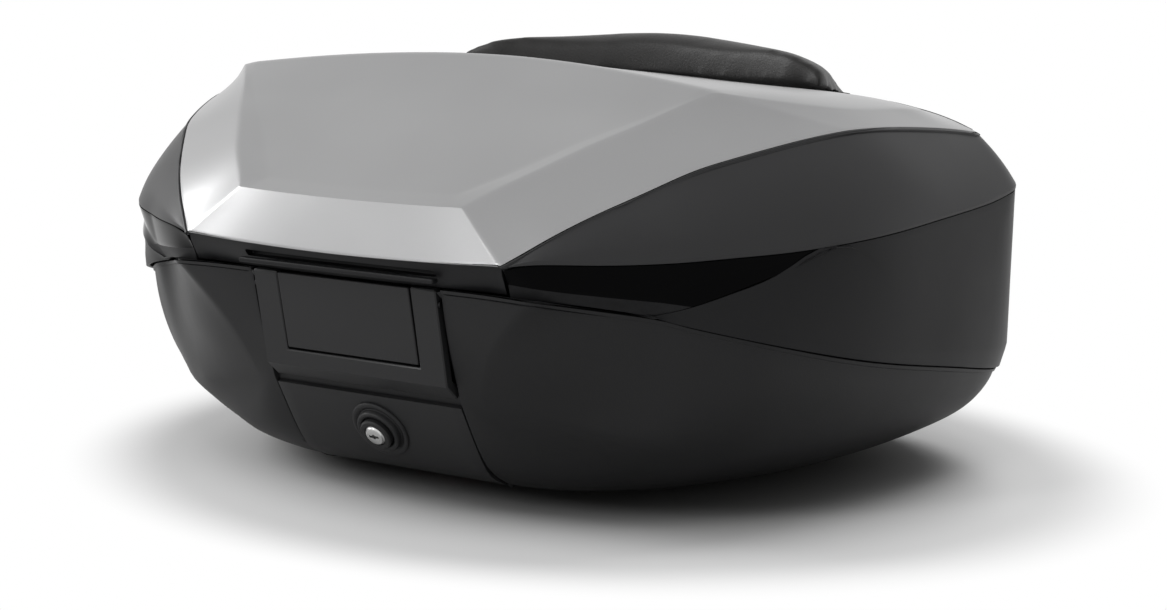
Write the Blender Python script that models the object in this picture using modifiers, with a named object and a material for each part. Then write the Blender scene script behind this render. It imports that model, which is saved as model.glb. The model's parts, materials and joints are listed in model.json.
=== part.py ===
"""Expandable motorcycle top case.

A hard case with a fixed tub, a frame that lifts out of it in three steps, a hinged lid under a
metal cover, a passenger backrest pad, a carrying handle that opens the lid, a key lock and the
tongue that holds the case on its rack. Metres, +Z up, the lock side faces -Y.
"""
import bpy
import bmesh
from math import atan2, cos, pi, radians, sin
from mathutils import Matrix, Vector

for item in list(bpy.data.objects):
    bpy.data.objects.remove(item)

# clearances
GAP = 0.0003            # between pieces that rest on each other
SEAM = 0.0007           # open joint line between shells
GROOVE = 0.0008         # joint line round the metal cover
SLIDE_GAP = 0.0012      # between telescoping walls
PIN_GAP = 0.00008       # radial, pin in its eye

# walls
SHELL_WALL = 0.0028     # tub
FRAME_WALL = 0.0024
LID_WALL = 0.0026
COVER_WALL = 0.0014     # metal cover
INSERT_WALL = 0.0013    # gloss trim
INSERT_ROOM = 0.0012    # between the trim's lower edge and the wing
LINER_WALL = 0.0020

# heights and moving ranges
FLOOR_Z = 0.0120        # underside of the tub
LIFT = 0.060            # how far the frame rises
LIFT_STEP = LIFT / 2    # pitch of the catch notches
TRAY_TOP = 0.130
SLEEVE_BOTTOM = 0.058

# lid hinge
HINGE_Y = 0.2165
HINGE_Z = 0.1965
HINGE_X = 0.100         # centre of each hinge
HINGE_STATION = 20      # rim station beside it
HINGE_PIN_R = 0.0025
KNUCKLE_R = 0.0045
KNUCKLE_LENGTH = 0.018
STRAP_KNUCKLE = 0.008
HINGE_WALL = 0.0022
LEAF_HEIGHT = 0.020
STRAP_LENGTH = 0.018

# carrying handle
HANDLE_HALF = 0.0743    # outer half width
HANDLE_BAR = 0.0198     # width of an arm
HANDLE_WALL = 0.0065
HANDLE_TOP = (-0.2214, 0.1492)      # y and z down the face of the handle
HANDLE_INNER_LOW = (-0.2119, 0.0975)
HANDLE_FOLD = (-0.2100, 0.0870)
HANDLE_LOW = (-0.1995, 0.0778)
HANDLE_BACK = 0.0012    # room between the handle's lower end and the tub
AXLE_Y = -0.2165
AXLE_Z = 0.1400
AXLE_R = 0.0020
AXLE_INSET = 0.0022     # the stub pins end this far inside the handle's arms
HANDLE_ROOM = 0.0022    # between the handle and the bay's side
BAY_HALF = HANDLE_HALF + HANDLE_ROOM    # half width of the tub's bay for handle and lock panel
BAY_STEP = 0.0010       # draft of the bay's side wall
COVER_PLATE_WALL = 0.0025
POST_ROOM = 0.0014
PANEL_WALL = 0.0030     # lock panel

# key lock
LOCK_Y = -0.1921
LOCK_Z = 0.0435         # centre of the plug's face
LOCK_TILT = radians(30)
PLUG_R = 0.0077
PLUG_LENGTH = 0.0220
HOUSING_WALL = 0.0038
HOUSING_BACK = 0.0010   # the housing starts this far behind the plug's face
HOUSING_EDGE = 0.0010   # chamfer round its face
HOLE_GAP = 0.0004
BOSS_R = 0.0215
BOSS_HEIGHT = 0.0050
BOSS_GROOVE = (0.0052, 0.0080)      # the ring groove's edges, in from the boss's rim
GROOVE_DEPTH = 0.0012
GROOVE_DRAFT = 0.0004
BOSS_CHAMFER = (0.0016, 0.0020)     # in from the rim, down its side
KEY_SLOT = (0.0020, 0.0080, 0.0040)
CAM_THICK = 0.0025
CAM_LENGTH = 0.0200
CAM_WIDTH = 0.0080

# lid latch
STRIKER_Y = -0.1910
STRIKER_Z = 0.1460
STRIKER_R = 0.0025
LEG_X = 0.0140          # middle of each striker leg
LEG_WALL = 0.0040
LEG_DEPTH = 0.0070
LEG_Z = (0.1430, 0.1770)
STRIKER_PLATE = (0.0325, 0.0045)    # depth and wall of the striker's plate, under the lid
STRIKER_PLATE_AT = (-0.2037, 0.1777)
HOOK_HALF = 0.0095
HOOK_WALL = 0.0042
HOOK_ROOM = 0.0005      # between hook and striker
HOOK_Y = -0.1795
HOOK_Z = 0.1300
HOOK_PIN_R = 0.0020
HOOK_EYE_R = 0.0045
EAR_X = 0.0170
EAR_WALL = 0.0030
EAR_HEIGHT = 0.0200
EAR_FRONT = 0.0055      # the ears reach this far past the hook's pin
CARRIER_WALL = 0.0025
CARRIER_HEIGHT = 0.0370
CARRIER_RISE = 0.0085   # its middle lies this far over the hook's pin
SLOT_HALF = 0.0200      # opening in the frame's shelf for the striker
SLOT_Y = (-0.1975, -0.1745)

# lift rails and their catches
RAIL_Y = 0.0200
RAIL_HALF = 0.0110
RAIL_X = 0.2478         # inner face of each rail
RAIL_THICK = 0.0057
RAIL_LOW = 0.0465
RAIL_TOP = 0.1680
FOOT_X = 0.2610
NOTCH_Z = 0.1000
NOTCH_DEPTH = 0.0030
CATCH_HALF = 0.0060
CATCH_HEIGHT = 0.0060
CATCH_LENGTH = 0.0075
STEM_R = 0.0020
GUIDE_WALL = 0.0020
GUIDE_X = 0.2660
GUIDE_HEIGHT = 0.0200

# bottom
PLATE_X = 0.085
PLATE_Y = 0.105
PLATE_THICK = 0.0045
TONGUE_HALF = 0.018
TONGUE_LENGTH = 0.052
TONGUE_PROUD = 0.007    # how far the tongue stands out of the plate
TONGUE_TRAVEL = 0.008
KEEPER_THICK = 0.0018
FOOT_R = 0.011
FOOT_PLACES = [(.062, -.050, PLATE_THICK + GAP), (.110, .120, 0)]  # x, y and the plate over the foot
MAT_THICK = 0.0025
MAT_SHARE = 0.62        # outline of the mat against the sleeve's
SCREW_R = 0.0035
SCREW_HEAD = 0.0016

FRAME_FRONT_Y = -0.2135
SHELF_FRONT_Z = 0.1600
SHELF_FALL = 0.0010
SEAL_INSET = 0.0115
SEAL_WIDTH = 0.0030
SEAL_HEIGHT = 0.0030
RIM_LIP = 0.0035        # the tub's rim steps in and up by this much
TRAY_FLOOR_Z = FLOOR_Z + SHELL_WALL + LINER_WALL + 2 * GAP
TRAY_TURN = [(.965, .042), (.87, .0270), (.70, TRAY_FLOOR_Z)]  # share of the outline, height

# front band of the lid
BAND_LOW_Z = 0.1512
BAND_TUCK = 0.0100      # its lower edge lies this far behind the upper one
BAND_BACK_Y = -0.2143
BAND_END_TUCK = 0.0074
BAND_END_WALL = 0.0018
BAND_SLOPE = 0.0024     # its top falls this much to the back, clear of the lid's wall
BAND_TURN_X = 0.1000    # here its back face turns out to the end
BAND_SLOT_HALF = 0.0750
BAND_SLOT_Z = 0.1602
BAND_SLOT_HEIGHT = 0.0036
BAND_SLOT_DEPTH = 0.0060

# backrest
REST_WALL = 0.0035
REST_STATION = 19       # the backrest plate reaches this rim station


def v(x, y, z):
    return Vector((x, y, z))


# ---------------------------------------------------------------- outlines, right half
# lid rim, from the middle of the lock side to the middle of the hinge side
RIM = [v(0, -.2295, .1645), v(.042, -.2287, .1648), v(.084, -.2269, .1656), v(.112, -.2249, .1664),
       v(.125, -.2238, .1670), v(.146, -.2170, .1707), v(.173, -.2025, .1710), v(.196, -.1875, .1715),
       v(.222, -.1720, .1733), v(.243, -.1475, .1750), v(.262, -.1160, .1760), v(.2815, -.0775, .1790),
       v(.291, -.0380, .1815), v(.295, .0000, .1840), v(.298, .0450, .1866), v(.2990, .0800, .1892),
       v(.296, .1120, .1935), v(.264, .1520, .1960), v(.222, .1860, .1965), v(.190, .2000, .1970),
       v(.126, .2065, .1970), v(.063, .2085, .1970), v(0, .2090, .1970)]
# edge of the metal cover, station by station above the rim
EDGE = [v(0, -.2315, .1665), v(.042, -.2310, .1669), v(.084, -.2292, .1677), v(.112, -.2268, .1686),
        v(.126, -.2255, .1692), v(.139, -.2145, .1785), v(.152, -.2035, .1880), v(.170, -.1855, .2000),
        v(.188, -.1645, .2110), v(.205, -.1425, .2220), v(.220, -.1205, .2290), v(.242, -.0765, .2380),
        v(.255, -.0420, .2418), v(.262, -.0095, .2415), v(.268, .0400, .2375), v(.2705, .0750, .2335),
        v(.272, .1005, .2300), v(.240, .1150, .2370), v(.212, .1210, .2415), v(.185, .1260, .2445),
        v(.126, .1320, .2480), v(.063, .1355, .2502), v(0, .1365, .2525)]
CORNER = 4              # station of the cover's front corner
HEM = 0.0024            # upright edge at the foot of the lid
CORNER_DROP = 0.0006    # the frame's top lies lower at the corner
SHOULDER = 13           # station where the side crease starts
TAIL = 16               # station of the cover's rear corner
BULGE = 0.0055          # swell of the black side panel
FRONT_STEP = 0.0001     # the lid's wall runs this far on for each row of its side

# metal cover: front facet top, then rows that run back, each from the middle to the edge
FACET_TOP = [v(0, -.2185, .1990), v(.030, -.2180, .1991), v(.060, -.2168, .1994), v(.081, -.2153, .1998),
             v(.090, -.2145, .2000)]
INNER = [[v(0, -.2055, .2048), v(.026, -.2050, .2049), v(.052, -.2037, .2053), v(.077, -.2015, .2062),
          v(.100, -.2040, .2070)],
         [v(0, -.1900, .2130), v(.030, -.1895, .2130), v(.061, -.1890, .2130), v(.0895, -.1895, .2128),
          v(.110, -.1935, .2140)],
         [v(0, -.1720, .2228), v(.035, -.1720, .2228), v(.070, -.1730, .2218), v(.1030, -.1770, .2200),
          v(.122, -.1810, .2215)],
         [v(0, -.1520, .2340), v(.040, -.1525, .2335), v(.081, -.1545, .2325), v(.1190, -.1610, .2300),
          v(.136, -.1640, .2310)],
         [v(0, -.1300, .2462), v(.046, -.1310, .2455), v(.092, -.1350, .2435), v(.1365, -.1440, .2400),
          v(.152, -.1450, .2410)],
         [v(0, -.1080, .2590), v(.052, -.1100, .2580), v(.103, -.1160, .2543), v(.1540, -.1270, .2487),
          v(.166, -.1270, .2492)],
         [v(0, -.0890, .2713), v(.058, -.0920, .2699), v(.116, -.1000, .2657), v(.1720, -.1090, .2590),
          v(.180, -.1100, .2582)],
         [v(0, -.0745, .2800), v(.062, -.0780, .2785), v(.124, -.0860, .2743), v(.1820, -.0930, .2680),
          v(.203, -.0845, .2635)],
         [v(0, -.0300, .2742), v(.066, -.0320, .2712), v(.134, -.0380, .2682), v(.2000, -.0430, .2640),
          v(.238, -.0300, .2540)],
         [v(0, .0200, .2673), v(.068, .0200, .2643), v(.137, .0190, .2612), v(.2040, .0190, .2580),
          v(.246, .0280, .2500)],
         [v(0, .0780, .2600), v(.067, .0770, .2570), v(.134, .0740, .2548), v(.2000, .0710, .2525),
          v(.2475, .0670, .2460)]]

# frame: gloss insert, wing and lower edge
INSERT_FIRST = 4
INSERT_LAST = 11
INSERT_LOW = [v(.1270, -.2135, .1500), v(.148, -.2065, .1480), v(.175, -.1885, .1440), v(.1985, -.1705, .1390),
              v(.219, -.1620, .1455), v(.2405, -.1450, .1550), v(.2600, -.1175, .1650), v(.2800, -.0800, .1765)]
INSERT_FOLD = [v(.1275, -.2185, .1580), v(.149, -.2115, .1560), v(.177, -.1945, .1525), v(.201, -.1770, .1490),
               v(.221, -.1665, .1570), v(.2420, -.1468, .1640), v(.2612, -.1170, .1700), v(.2808, -.0790, .1776)]
INSERT_SINK = 0.0022    # the frame lies this far behind the insert's face
INSERT_TIP = 0.6        # the insert ends this share of the way to its last station
WING_TIP = 7            # station where the wing starts
WING_PROUD = 0.0020
WING_LOW = [v(.1995, -.1690, .1372), v(.2160, -.1635, .1335), v(.2375, -.1495, .1280), v(.2560, -.1295, .1215),
            v(.2740, -.0805, .1085), v(.2830, -.0350, .0985), v(.2870, .0050, .0910), v(.2900, .0450, .0840),
            v(.2895, .0850, .0765), v(.2820, .1240, .0710), v(.2540, .1640, .0680), v(.2150, .1930, .0660),
            v(.1860, .2050, .0650), v(.1250, .2110, .0640), v(.0625, .2130, .0640), v(0, .2135, .0640)]
BEVEL_RISE = [.0015, .0020, .0030, .0040, .0060, .0080, .0100, .0120, .0140, .0160, .0160, .0160, .0160, .0160,
              .0160, .0160]
BEVEL_OUT = .0045       # how far the wing's bevel stands out over its lower edge

# inner sleeve of the frame, clockwise from the lock side, one point for each rim station
SLEEVE = [(0, -.1650), (.030, -.1650), (.060, -.1650), (.090, -.1650), (.112, -.1645), (.134, -.1630),
          (.155, -.1580), (.176, -.1470), (.194, -.1310), (.208, -.1120), (.220, -.0880), (.2310, -.0560),
          (.2380, -.0250), (.2420, .0060), (.2440, .0450), (.2430, .0800), (.2360, .1150), (.2180, .1420),
          (.1950, .1610), (.1700, .1720), (.1150, .1780), (.0580, .1800), (0, .1805)]

# tub: rows from the rim down, one point for each tub station
STEP_STATION = 2        # the handle's bay ends here
BAY_EDGE = BAY_HALF - BAY_STEP
TUB_RIM = [v(0, -.2065, .1480), v(BAY_EDGE, -.2060, .1480), v(BAY_HALF, -.2190, .1480), v(.110, -.2197, .1482),
           v(.143, -.2180, .1480), v(.171, -.1915, .1420), v(.1985, -.1665, .1360), v(.2160, -.1610, .1323),
           v(.2340, -.1460, .1268), v(.2515, -.1265, .1203), v(.2690, -.0795, .1073), v(.2785, -.0350, .0973),
           v(.2845, .0050, .0898), v(.2875, .0450, .0828), v(.2870, .0850, .0753), v(.2795, .1220, .0698),
           v(.2520, .1615, .0668), v(.2135, .1905, .0648), v(.1850, .2022, .0638), v(.1250, .2082, .0628),
           v(.0625, .2102, .0628), v(0, .2107, .0628)]
TUB_WAIST = [v(0, -.2000, .1120), v(BAY_EDGE, -.1995, .1120), v(BAY_HALF, -.2110, .1120), v(.109, -.2090, .1100),
             v(.141, -.2005, .1070), v(.168, -.1815, .1040), v(.196, -.1620, .1010), v(.2130, -.1540, .0980),
             v(.2320, -.1400, .0950), v(.2490, -.1225, .0900), v(.2660, -.0770, .0820), v(.2750, -.0340, .0760),
             v(.2800, .0050, .0710), v(.2825, .0450, .0670), v(.2815, .0850, .0620), v(.2740, .1210, .0585),
             v(.2470, .1590, .0560), v(.2100, .1870, .0540), v(.1820, .1985, .0530), v(.1240, .2045, .0525),
             v(.0620, .2065, .0525), v(0, .2070, .0525)]
TUB_CREASE = [v(0, -.1960, .0750), v(BAY_EDGE, -.1960, .0750), v(BAY_HALF, -.1990, .0755), v(.107, -.1930, .0715),
              v(.138, -.1840, .0665), v(.162, -.1750, .0615), v(.188, -.1600, .0570), v(.2040, -.1460, .0560),
              v(.2190, -.1310, .0550), v(.2340, -.1130, .0530), v(.2500, -.0730, .0500), v(.2590, -.0330, .0470),
              v(.2640, .0040, .0450), v(.2665, .0450, .0440), v(.2655, .0850, .0425), v(.2580, .1190, .0410),
              v(.2330, .1530, .0400), v(.1990, .1800, .0390), v(.1730, .1910, .0385), v(.1190, .1970, .0380),
              v(.0600, .1990, .0380), v(0, .1995, .0380)]
TUB_TURN = [v(0, -.1700, .0300), v(BAY_EDGE, -.1700, .0300), v(BAY_HALF, -.1740, .0310), v(.103, -.1750, .0345),
            v(.131, -.1640, .0310), v(.153, -.1520, .0310), v(.176, -.1350, .0295), v(.1900, -.1200, .0295),
            v(.2020, -.1040, .0295), v(.2110, -.0870, .0290), v(.2220, -.0560, .0275), v(.2290, -.0240, .0265),
            v(.2330, .0060, .0260), v(.2350, .0430, .0255), v(.2340, .0800, .0255), v(.2270, .1120, .0255),
            v(.2070, .1410, .0255), v(.1790, .1650, .0255), v(.1560, .1760, .0255), v(.1080, .1820, .0255),
            v(.0550, .1840, .0255), v(0, .1845, .0255)]
TUB_FLOOR = [v(0, -.1470, .0160), v(BAY_EDGE, -.1470, .0160), v(BAY_HALF, -.1500, .0152), v(.092, -.1460, .0140),
             v(.113, -.1340, .0130), v(.129, -.1200, .0123), v(.145, -.1030, .0120), v(.1550, -.0890, .0120),
             v(.1630, -.0750, .0120), v(.1700, -.0600, .0120), v(.1780, -.0350, .0120), v(.1830, -.0110, .0120),
             v(.1860, .0100, .0120), v(.1875, .0400, .0120), v(.1870, .0700, .0120), v(.1820, .0950, .0120),
             v(.1670, .1180, .0120), v(.1450, .1370, .0120), v(.1270, .1460, .0120), v(.0880, .1510, .0120),
             v(.0450, .1525, .0120), v(0, .1530, .0120)]

MATERIALS = {
    "metal_cover": ((.42, .42, .43), .34, .9), "black_plastic": ((.022, .022, .024), .42, 0),
    "gloss_black": ((.004, .004, .005), .08, 0), "dark_satin": ((.030, .030, .032), .5, 0),
    "pad": ((.030, .029, .028), .7, 0), "seal_rubber": ((.012, .012, .012), .8, 0),
    "liner": ((.040, .040, .042), .75, 0), "mat": ((.020, .020, .021), .9, 0),
    "lock_metal": ((.55, .55, .56), .25, 1), "steel": ((.36, .36, .37), .35, 1),
    "clip_red": ((.30, .012, .010), .45, 0), "foot_rubber": ((.010, .010, .010), .85, 0)}


def material(name):
    if name in bpy.data.materials:
        return bpy.data.materials[name]
    colour, rough, metal = MATERIALS[name]
    mat = bpy.data.materials.new(name)
    mat.use_nodes = True
    shader = mat.node_tree.nodes["Principled BSDF"]
    shader.inputs["Base Color"].default_value = (*colour, 1)
    shader.inputs["Roughness"].default_value = rough
    shader.inputs["Metallic"].default_value = metal
    return mat


def collection(name):
    made = bpy.data.collections.new(name)
    bpy.context.scene.collection.children.link(made)
    return made


def add_object(name, bm, finish, where=None):
    """Turns a bmesh into a named object in the parts collection."""
    mesh = bpy.data.meshes.new(name)
    bm.to_mesh(mesh)
    bm.free()
    ob = bpy.data.objects.new(name, mesh)
    (where or PARTS).objects.link(ob)
    if finish:
        mat = material(finish).copy()
        mat.name = name
        ob.data.materials.append(mat)
    return ob


def smooth(ob, angle=radians(30)):
    ob.data.shade_smooth()
    ob.data.set_sharp_from_angle(angle=angle)
    return ob


def add_modifier(ob, kind, **settings):
    mod = ob.modifiers.new(kind.title(), kind)
    for key, value in settings.items():
        setattr(mod, key, value)
    return mod


def mirror(ob):
    return add_modifier(ob, "MIRROR", use_clip=True, merge_threshold=.00005)


def solidify(ob, wall, offset=-1, even=True):
    """Gives a skin its wall. The quads are split first, so that nested skins fold alike."""
    add_modifier(ob, "TRIANGULATE", quad_method="FIXED")
    return add_modifier(ob, "SOLIDIFY", thickness=wall, offset=offset, use_even_offset=even)


def bevel(ob, width, segments=2, angle=radians(40)):
    return add_modifier(ob, "BEVEL", width=width, segments=segments, limit_method="ANGLE", angle_limit=angle,
                        use_clamp_overlap=True)


def cut(ob, cutter, operation="DIFFERENCE"):
    return add_modifier(ob, "BOOLEAN", object=cutter, operation=operation, solver="EXACT")


def as_cutter(ob):
    ob.hide_render = True
    ob.display_type = "WIRE"
    return ob


def loft_faces(bm, *rows):
    """Skins neighbouring rows of equal length with quads."""
    grid = [[bm.verts.new(p) for p in row] for row in rows]
    for low, high in zip(grid[:-1], grid[1:]):
        for i in range(len(low) - 1):
            bm.faces.new((low[i], low[i + 1], high[i + 1], high[i]))


def join_patches(bm):
    """Merges the patches along their shared edges."""
    bmesh.ops.remove_doubles(bm, verts=bm.verts, dist=.00002)
    bmesh.ops.dissolve_degenerate(bm, edges=bm.edges, dist=.00002)
    bm.normal_update()
    return bm


def push(bm, distance):
    """Moves a half shell along its normals, keeping its middle in the mirror plane."""
    bm.normal_update()
    moves = []
    for vert in bm.verts:
        normal = vert.normal.copy()
        if abs(vert.co.x) < 1e-6:
            normal.x = 0
            normal.normalize()
        moves.append((vert, normal * distance * vert.calc_shell_factor()))
    for vert, move in moves:
        vert.co += move


def mix(a, b, t):
    return a + (b - a) * t


def row_mix(low, high, t):
    return [mix(a, b, t) for a, b in zip(low, high)]


def rounded_box(name, size, centre, finish, radius=.0012, segments=2, rotation=None, where=None):
    bm = bmesh.new()
    bmesh.ops.create_cube(bm, size=1)
    bmesh.ops.scale(bm, vec=size, verts=bm.verts)
    ob = add_object(name, bm, finish, where)
    ob.location = centre
    if rotation:
        ob.rotation_euler = rotation
    if radius:
        bevel(ob, radius, segments)
    return ob


def cylinder(name, radius, length, centre, axis, finish, segments=32, where=None):
    bm = bmesh.new()
    bmesh.ops.create_cone(bm, cap_ends=True, segments=segments, radius1=radius, radius2=radius, depth=length)
    ob = add_object(name, bm, finish, where)
    ob.rotation_mode = "QUATERNION"
    ob.rotation_quaternion = Vector((0, 0, 1)).rotation_difference(Vector(axis))
    ob.location = centre
    return smooth(ob)


# ---------------------------------------------------------------- lid
def cover_patches(bm):
    middle = row_mix(EDGE[:CORNER + 1], FACET_TOP, .5)
    loft_faces(bm, EDGE[:CORNER + 1], middle, FACET_TOP)
    rows = [FACET_TOP + [middle[-1], EDGE[CORNER]]]
    for row, edge in zip(INNER, EDGE[CORNER + 1:TAIL]):
        rows.append(row + [mix(row[-1], edge, .5), edge])
    rows.append(EDGE[:TAIL - 1:-1])
    loft_faces(bm, *rows)


def side_rows():
    """Rows of the lid's black side, from the rim to the groove round the cover."""
    hem = [p + v(0, 0, min(HEM, (q - p).length / 3)) for p, q in zip(RIM, EDGE)]
    top = []
    for rim, edge in zip(RIM, EDGE):
        down = rim - edge
        top.append(edge + down.normalized() * GROOVE)
    rows = [RIM, hem]
    for t in (.35, .7):
        row = []
        for i, (rim, edge) in enumerate(zip(hem, top)):
            out = Vector((edge.x + rim.x, (edge.y + rim.y) * .6, 0)).normalized()
            swell = BULGE * sin(pi * t) * min(1, (edge - rim).length / .05)
            row.append(mix(rim, edge, t) + out * (swell if CORNER < i <= SHOULDER else swell * .5))
        rows.append(row)
    return rows + [top]


def make_lid():
    bm = bmesh.new()
    cover_patches(bm)
    join_patches(bm)
    cover = add_object("lid_cover", bm, "metal_cover")
    mirror(cover)
    solidify(cover, COVER_WALL)
    smooth(cover)

    under = bmesh.new()
    cover_patches(under)
    join_patches(under)
    edge_verts = {}
    for i, point in enumerate(EDGE):
        edge_verts[i] = min(under.verts, key=lambda vert: (vert.co - point).length)
    push(under, -(COVER_WALL + GAP * 2))
    rows = side_rows()
    inner_edge = [edge_verts[i].co.copy() for i in range(len(EDGE))]
    ledge = [top + (inner - edge) for top, inner, edge in zip(rows[-1], inner_edge, EDGE)]
    rows.append(ledge)
    # at the lock side the shell ends below the cover, so its wall runs straight on
    for i in range(CORNER + 1):
        down = (EDGE[i] - FACET_TOP[i]).normalized()
        for step, row in enumerate(rows[::-1]):
            row[i] = inner_edge[i] + down * FRONT_STEP * (step + 1)
    loft_faces(under, *rows, inner_edge)
    join_patches(under)
    shell = add_object("lid_shell", under, "black_plastic")
    mirror(shell)
    solidify(shell, LID_WALL, even=False)
    smooth(shell)


# ---------------------------------------------------------------- frame
def pushed_rows(rows, distance):
    """The same rows, moved along the surface's normals."""
    bm = bmesh.new()
    loft_faces(bm, *rows)
    push(bm, distance)
    points = [vert.co.copy() for vert in bm.verts]
    bm.free()
    width = len(rows[0])
    return [points[i * width:(i + 1) * width] for i in range(len(rows))]


def frame_rim():
    return [p - v(0, 0, SEAM + CORNER_DROP * (i == CORNER)) for i, p in enumerate(RIM)]


def insert_rows():
    top = frame_rim()[INSERT_FIRST:INSERT_LAST + 1]
    top[0] = top[0] + v(.0018, 0, 0)
    low = [p + (f - p).normalized() * INSERT_ROOM for p, f in zip(INSERT_LOW, INSERT_FOLD)]
    return [low, INSERT_FOLD, top]


def frame_wall():
    """Rows of the frame's outer wall, from its lower edge to the seam, one point per rim station."""
    rim = frame_rim()
    backing = pushed_rows([INSERT_LOW, INSERT_FOLD, rim[INSERT_FIRST:INSERT_LAST + 1]], -INSERT_SINK)
    for p, q in zip(backing[-1], rim[INSERT_FIRST:]):
        p.z = q.z
    rows = [[], [], [], [], [], []]
    for i, top in enumerate(rim):
        if i < WING_TIP:
            j = max(0, i - INSERT_FIRST)
            low, fold, high = (row[j].copy() for row in backing)
            if i < INSERT_FIRST:
                for p in (low, fold, high):
                    p.x = top.x * .978
                    p.y = FRAME_FRONT_Y
            points = [low, mix(low, fold, .03), mix(low, fold, .06), mix(low, fold, .09), fold, high]
        else:
            j = i - WING_TIP
            outward = Vector((WING_LOW[j].x, WING_LOW[j].y, 0)).normalized()
            hem = WING_LOW[j] + outward * min(BEVEL_OUT, BEVEL_RISE[j] * .3) + v(0, 0, BEVEL_RISE[j])
            if i < INSERT_LAST:
                k = i - INSERT_FIRST
                lead = INSERT_LOW[k] + outward * WING_PROUD
                points = [WING_LOW[j], mix(hem, lead, .15) if i > WING_TIP else mix(WING_LOW[j], lead, .5), lead,
                          backing[0][k], backing[1][k], backing[2][k]]
            elif i == INSERT_LAST:
                points = [WING_LOW[j], hem, mix(INSERT_LOW[-1], hem, .02), INSERT_LOW[-1], INSERT_FOLD[-1], top]
            else:
                points = [WING_LOW[j], hem] + [mix(top, hem, .2 * s) for s in (3, 2, 1)] + [top]
        for row, p in zip(rows, points):
            row.append(p)
    return rows


def shelf_row(wall):
    """Where the shelf over the telescoping gap meets the sleeve."""
    return [v(x, y, min(SHELF_FRONT_Z, p.z - SHELF_FALL) if i <= INSERT_FIRST else p.z - SHELF_FALL)
            for i, ((x, y), p) in enumerate(zip(SLEEVE, wall[-1]))]


def seal_rows(wall, shelf):
    """The two edges of the seal's seat on the shelf."""
    rows = []
    for inset in (SEAL_INSET, SEAL_INSET + SEAL_WIDTH):
        rows.append([a + (b - a).normalized() * inset for a, b in zip(wall[-1], shelf)])
    return rows


def make_frame():
    wall = frame_wall()
    shelf = shelf_row(wall)
    skirt = [v(x, y, SLEEVE_BOTTOM) for x, y in SLEEVE]
    bm = bmesh.new()
    loft_faces(bm, *wall, *seal_rows(wall, shelf), shelf, row_mix(shelf, skirt, .06), skirt)
    join_patches(bm)
    frame = add_object("frame_shell", bm, "black_plastic")
    mirror(frame)
    solidify(frame, FRAME_WALL)
    slot_size = (2 * SLOT_HALF, SLOT_Y[1] - SLOT_Y[0], .012)
    slot = rounded_box("striker_slot", slot_size, v(0, sum(SLOT_Y) / 2, SHELF_FRONT_Z), None, 0, where=CUTTERS)
    cut(frame, as_cutter(slot))
    smooth(frame)
    rows = insert_rows()
    inner = pushed_rows(rows, -INSERT_WALL)
    for p, q in zip(inner[-1], rows[-1]):
        p.z = q.z
    tip = [mix(row[-2], row[-1], INSERT_TIP) for row in rows]
    outward = Vector((tip[0].x, tip[0].y, 0)).normalized()
    inner_tip = [mix(inner_row[-2], row[-1] + outward * GAP, INSERT_TIP) for inner_row, row in zip(inner, rows)]
    for row, end in zip(rows + inner, tip + inner_tip):
        row[-1] = end
    ring = rows + inner[::-1]
    for side, name in ((1, "gloss_insert_right"), (-1, "gloss_insert_left")):
        bm = bmesh.new()
        loft_faces(bm, *ring, ring[0])
        for end in (0, -1):
            bm.faces.new([bm.verts.new(row[end]) for row in ring])
        bmesh.ops.scale(bm, vec=(side, 1, 1), verts=bm.verts)
        join_patches(bm)
        bmesh.ops.recalc_face_normals(bm, faces=bm.faces)
        smooth(add_object(name, bm, "gloss_black"))


# ---------------------------------------------------------------- tub
def tub_rows():
    lip = []
    for i, p in enumerate(TUB_RIM):
        inward = v(0, -RIM_LIP, 0) if i <= STEP_STATION + 1 else Vector((p.x, p.y, 0)).normalized() * RIM_LIP
        rise = min(1, max(0, i - STEP_STATION - 2) / 3) * RIM_LIP
        lip.append(p - inward + v(0, 0, rise))
    lip[0].x = 0
    lip[-1].x = 0
    return [lip, TUB_RIM, TUB_WAIST, TUB_CREASE, TUB_TURN, TUB_FLOOR]


def tray_rows():
    """Rows of the inner tray's inner face, inside the sleeve and over the tub's floor."""
    inset = SLIDE_GAP + LINER_WALL
    rows = []
    for z in (TRAY_TOP, SLEEVE_BOTTOM):
        rows.append([v(x - inset * (x > 0), y + (inset if y < 0 else -inset), z) for x, y in SLEEVE])
    for share, z in TRAY_TURN:
        rows.append([v(p.x * share, p.y * share, z) for p in rows[1]])
    return rows


def bowl(name, rows, finish):
    floor = rows[-1]
    last = len(floor) - 1
    keel = [v(0, mix(floor[0].y, floor[-1].y, i / last), mix(floor[0].z, floor[-1].z, min(1, i / 2)))
            for i in range(last + 1)]
    bm = bmesh.new()
    loft_faces(bm, keel, row_mix(keel, floor, .5), *rows[::-1])
    join_patches(bm)
    ob = add_object(name, bm, finish)
    mirror(ob)
    return ob


def lock_axis():
    """Outward direction of the lock."""
    return v(0, -cos(LOCK_TILT), -sin(LOCK_TILT))


def lock_point(depth):
    """A point on the lock's axis, this far behind the plug's face."""
    return v(0, LOCK_Y, LOCK_Z) - lock_axis() * depth


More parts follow.
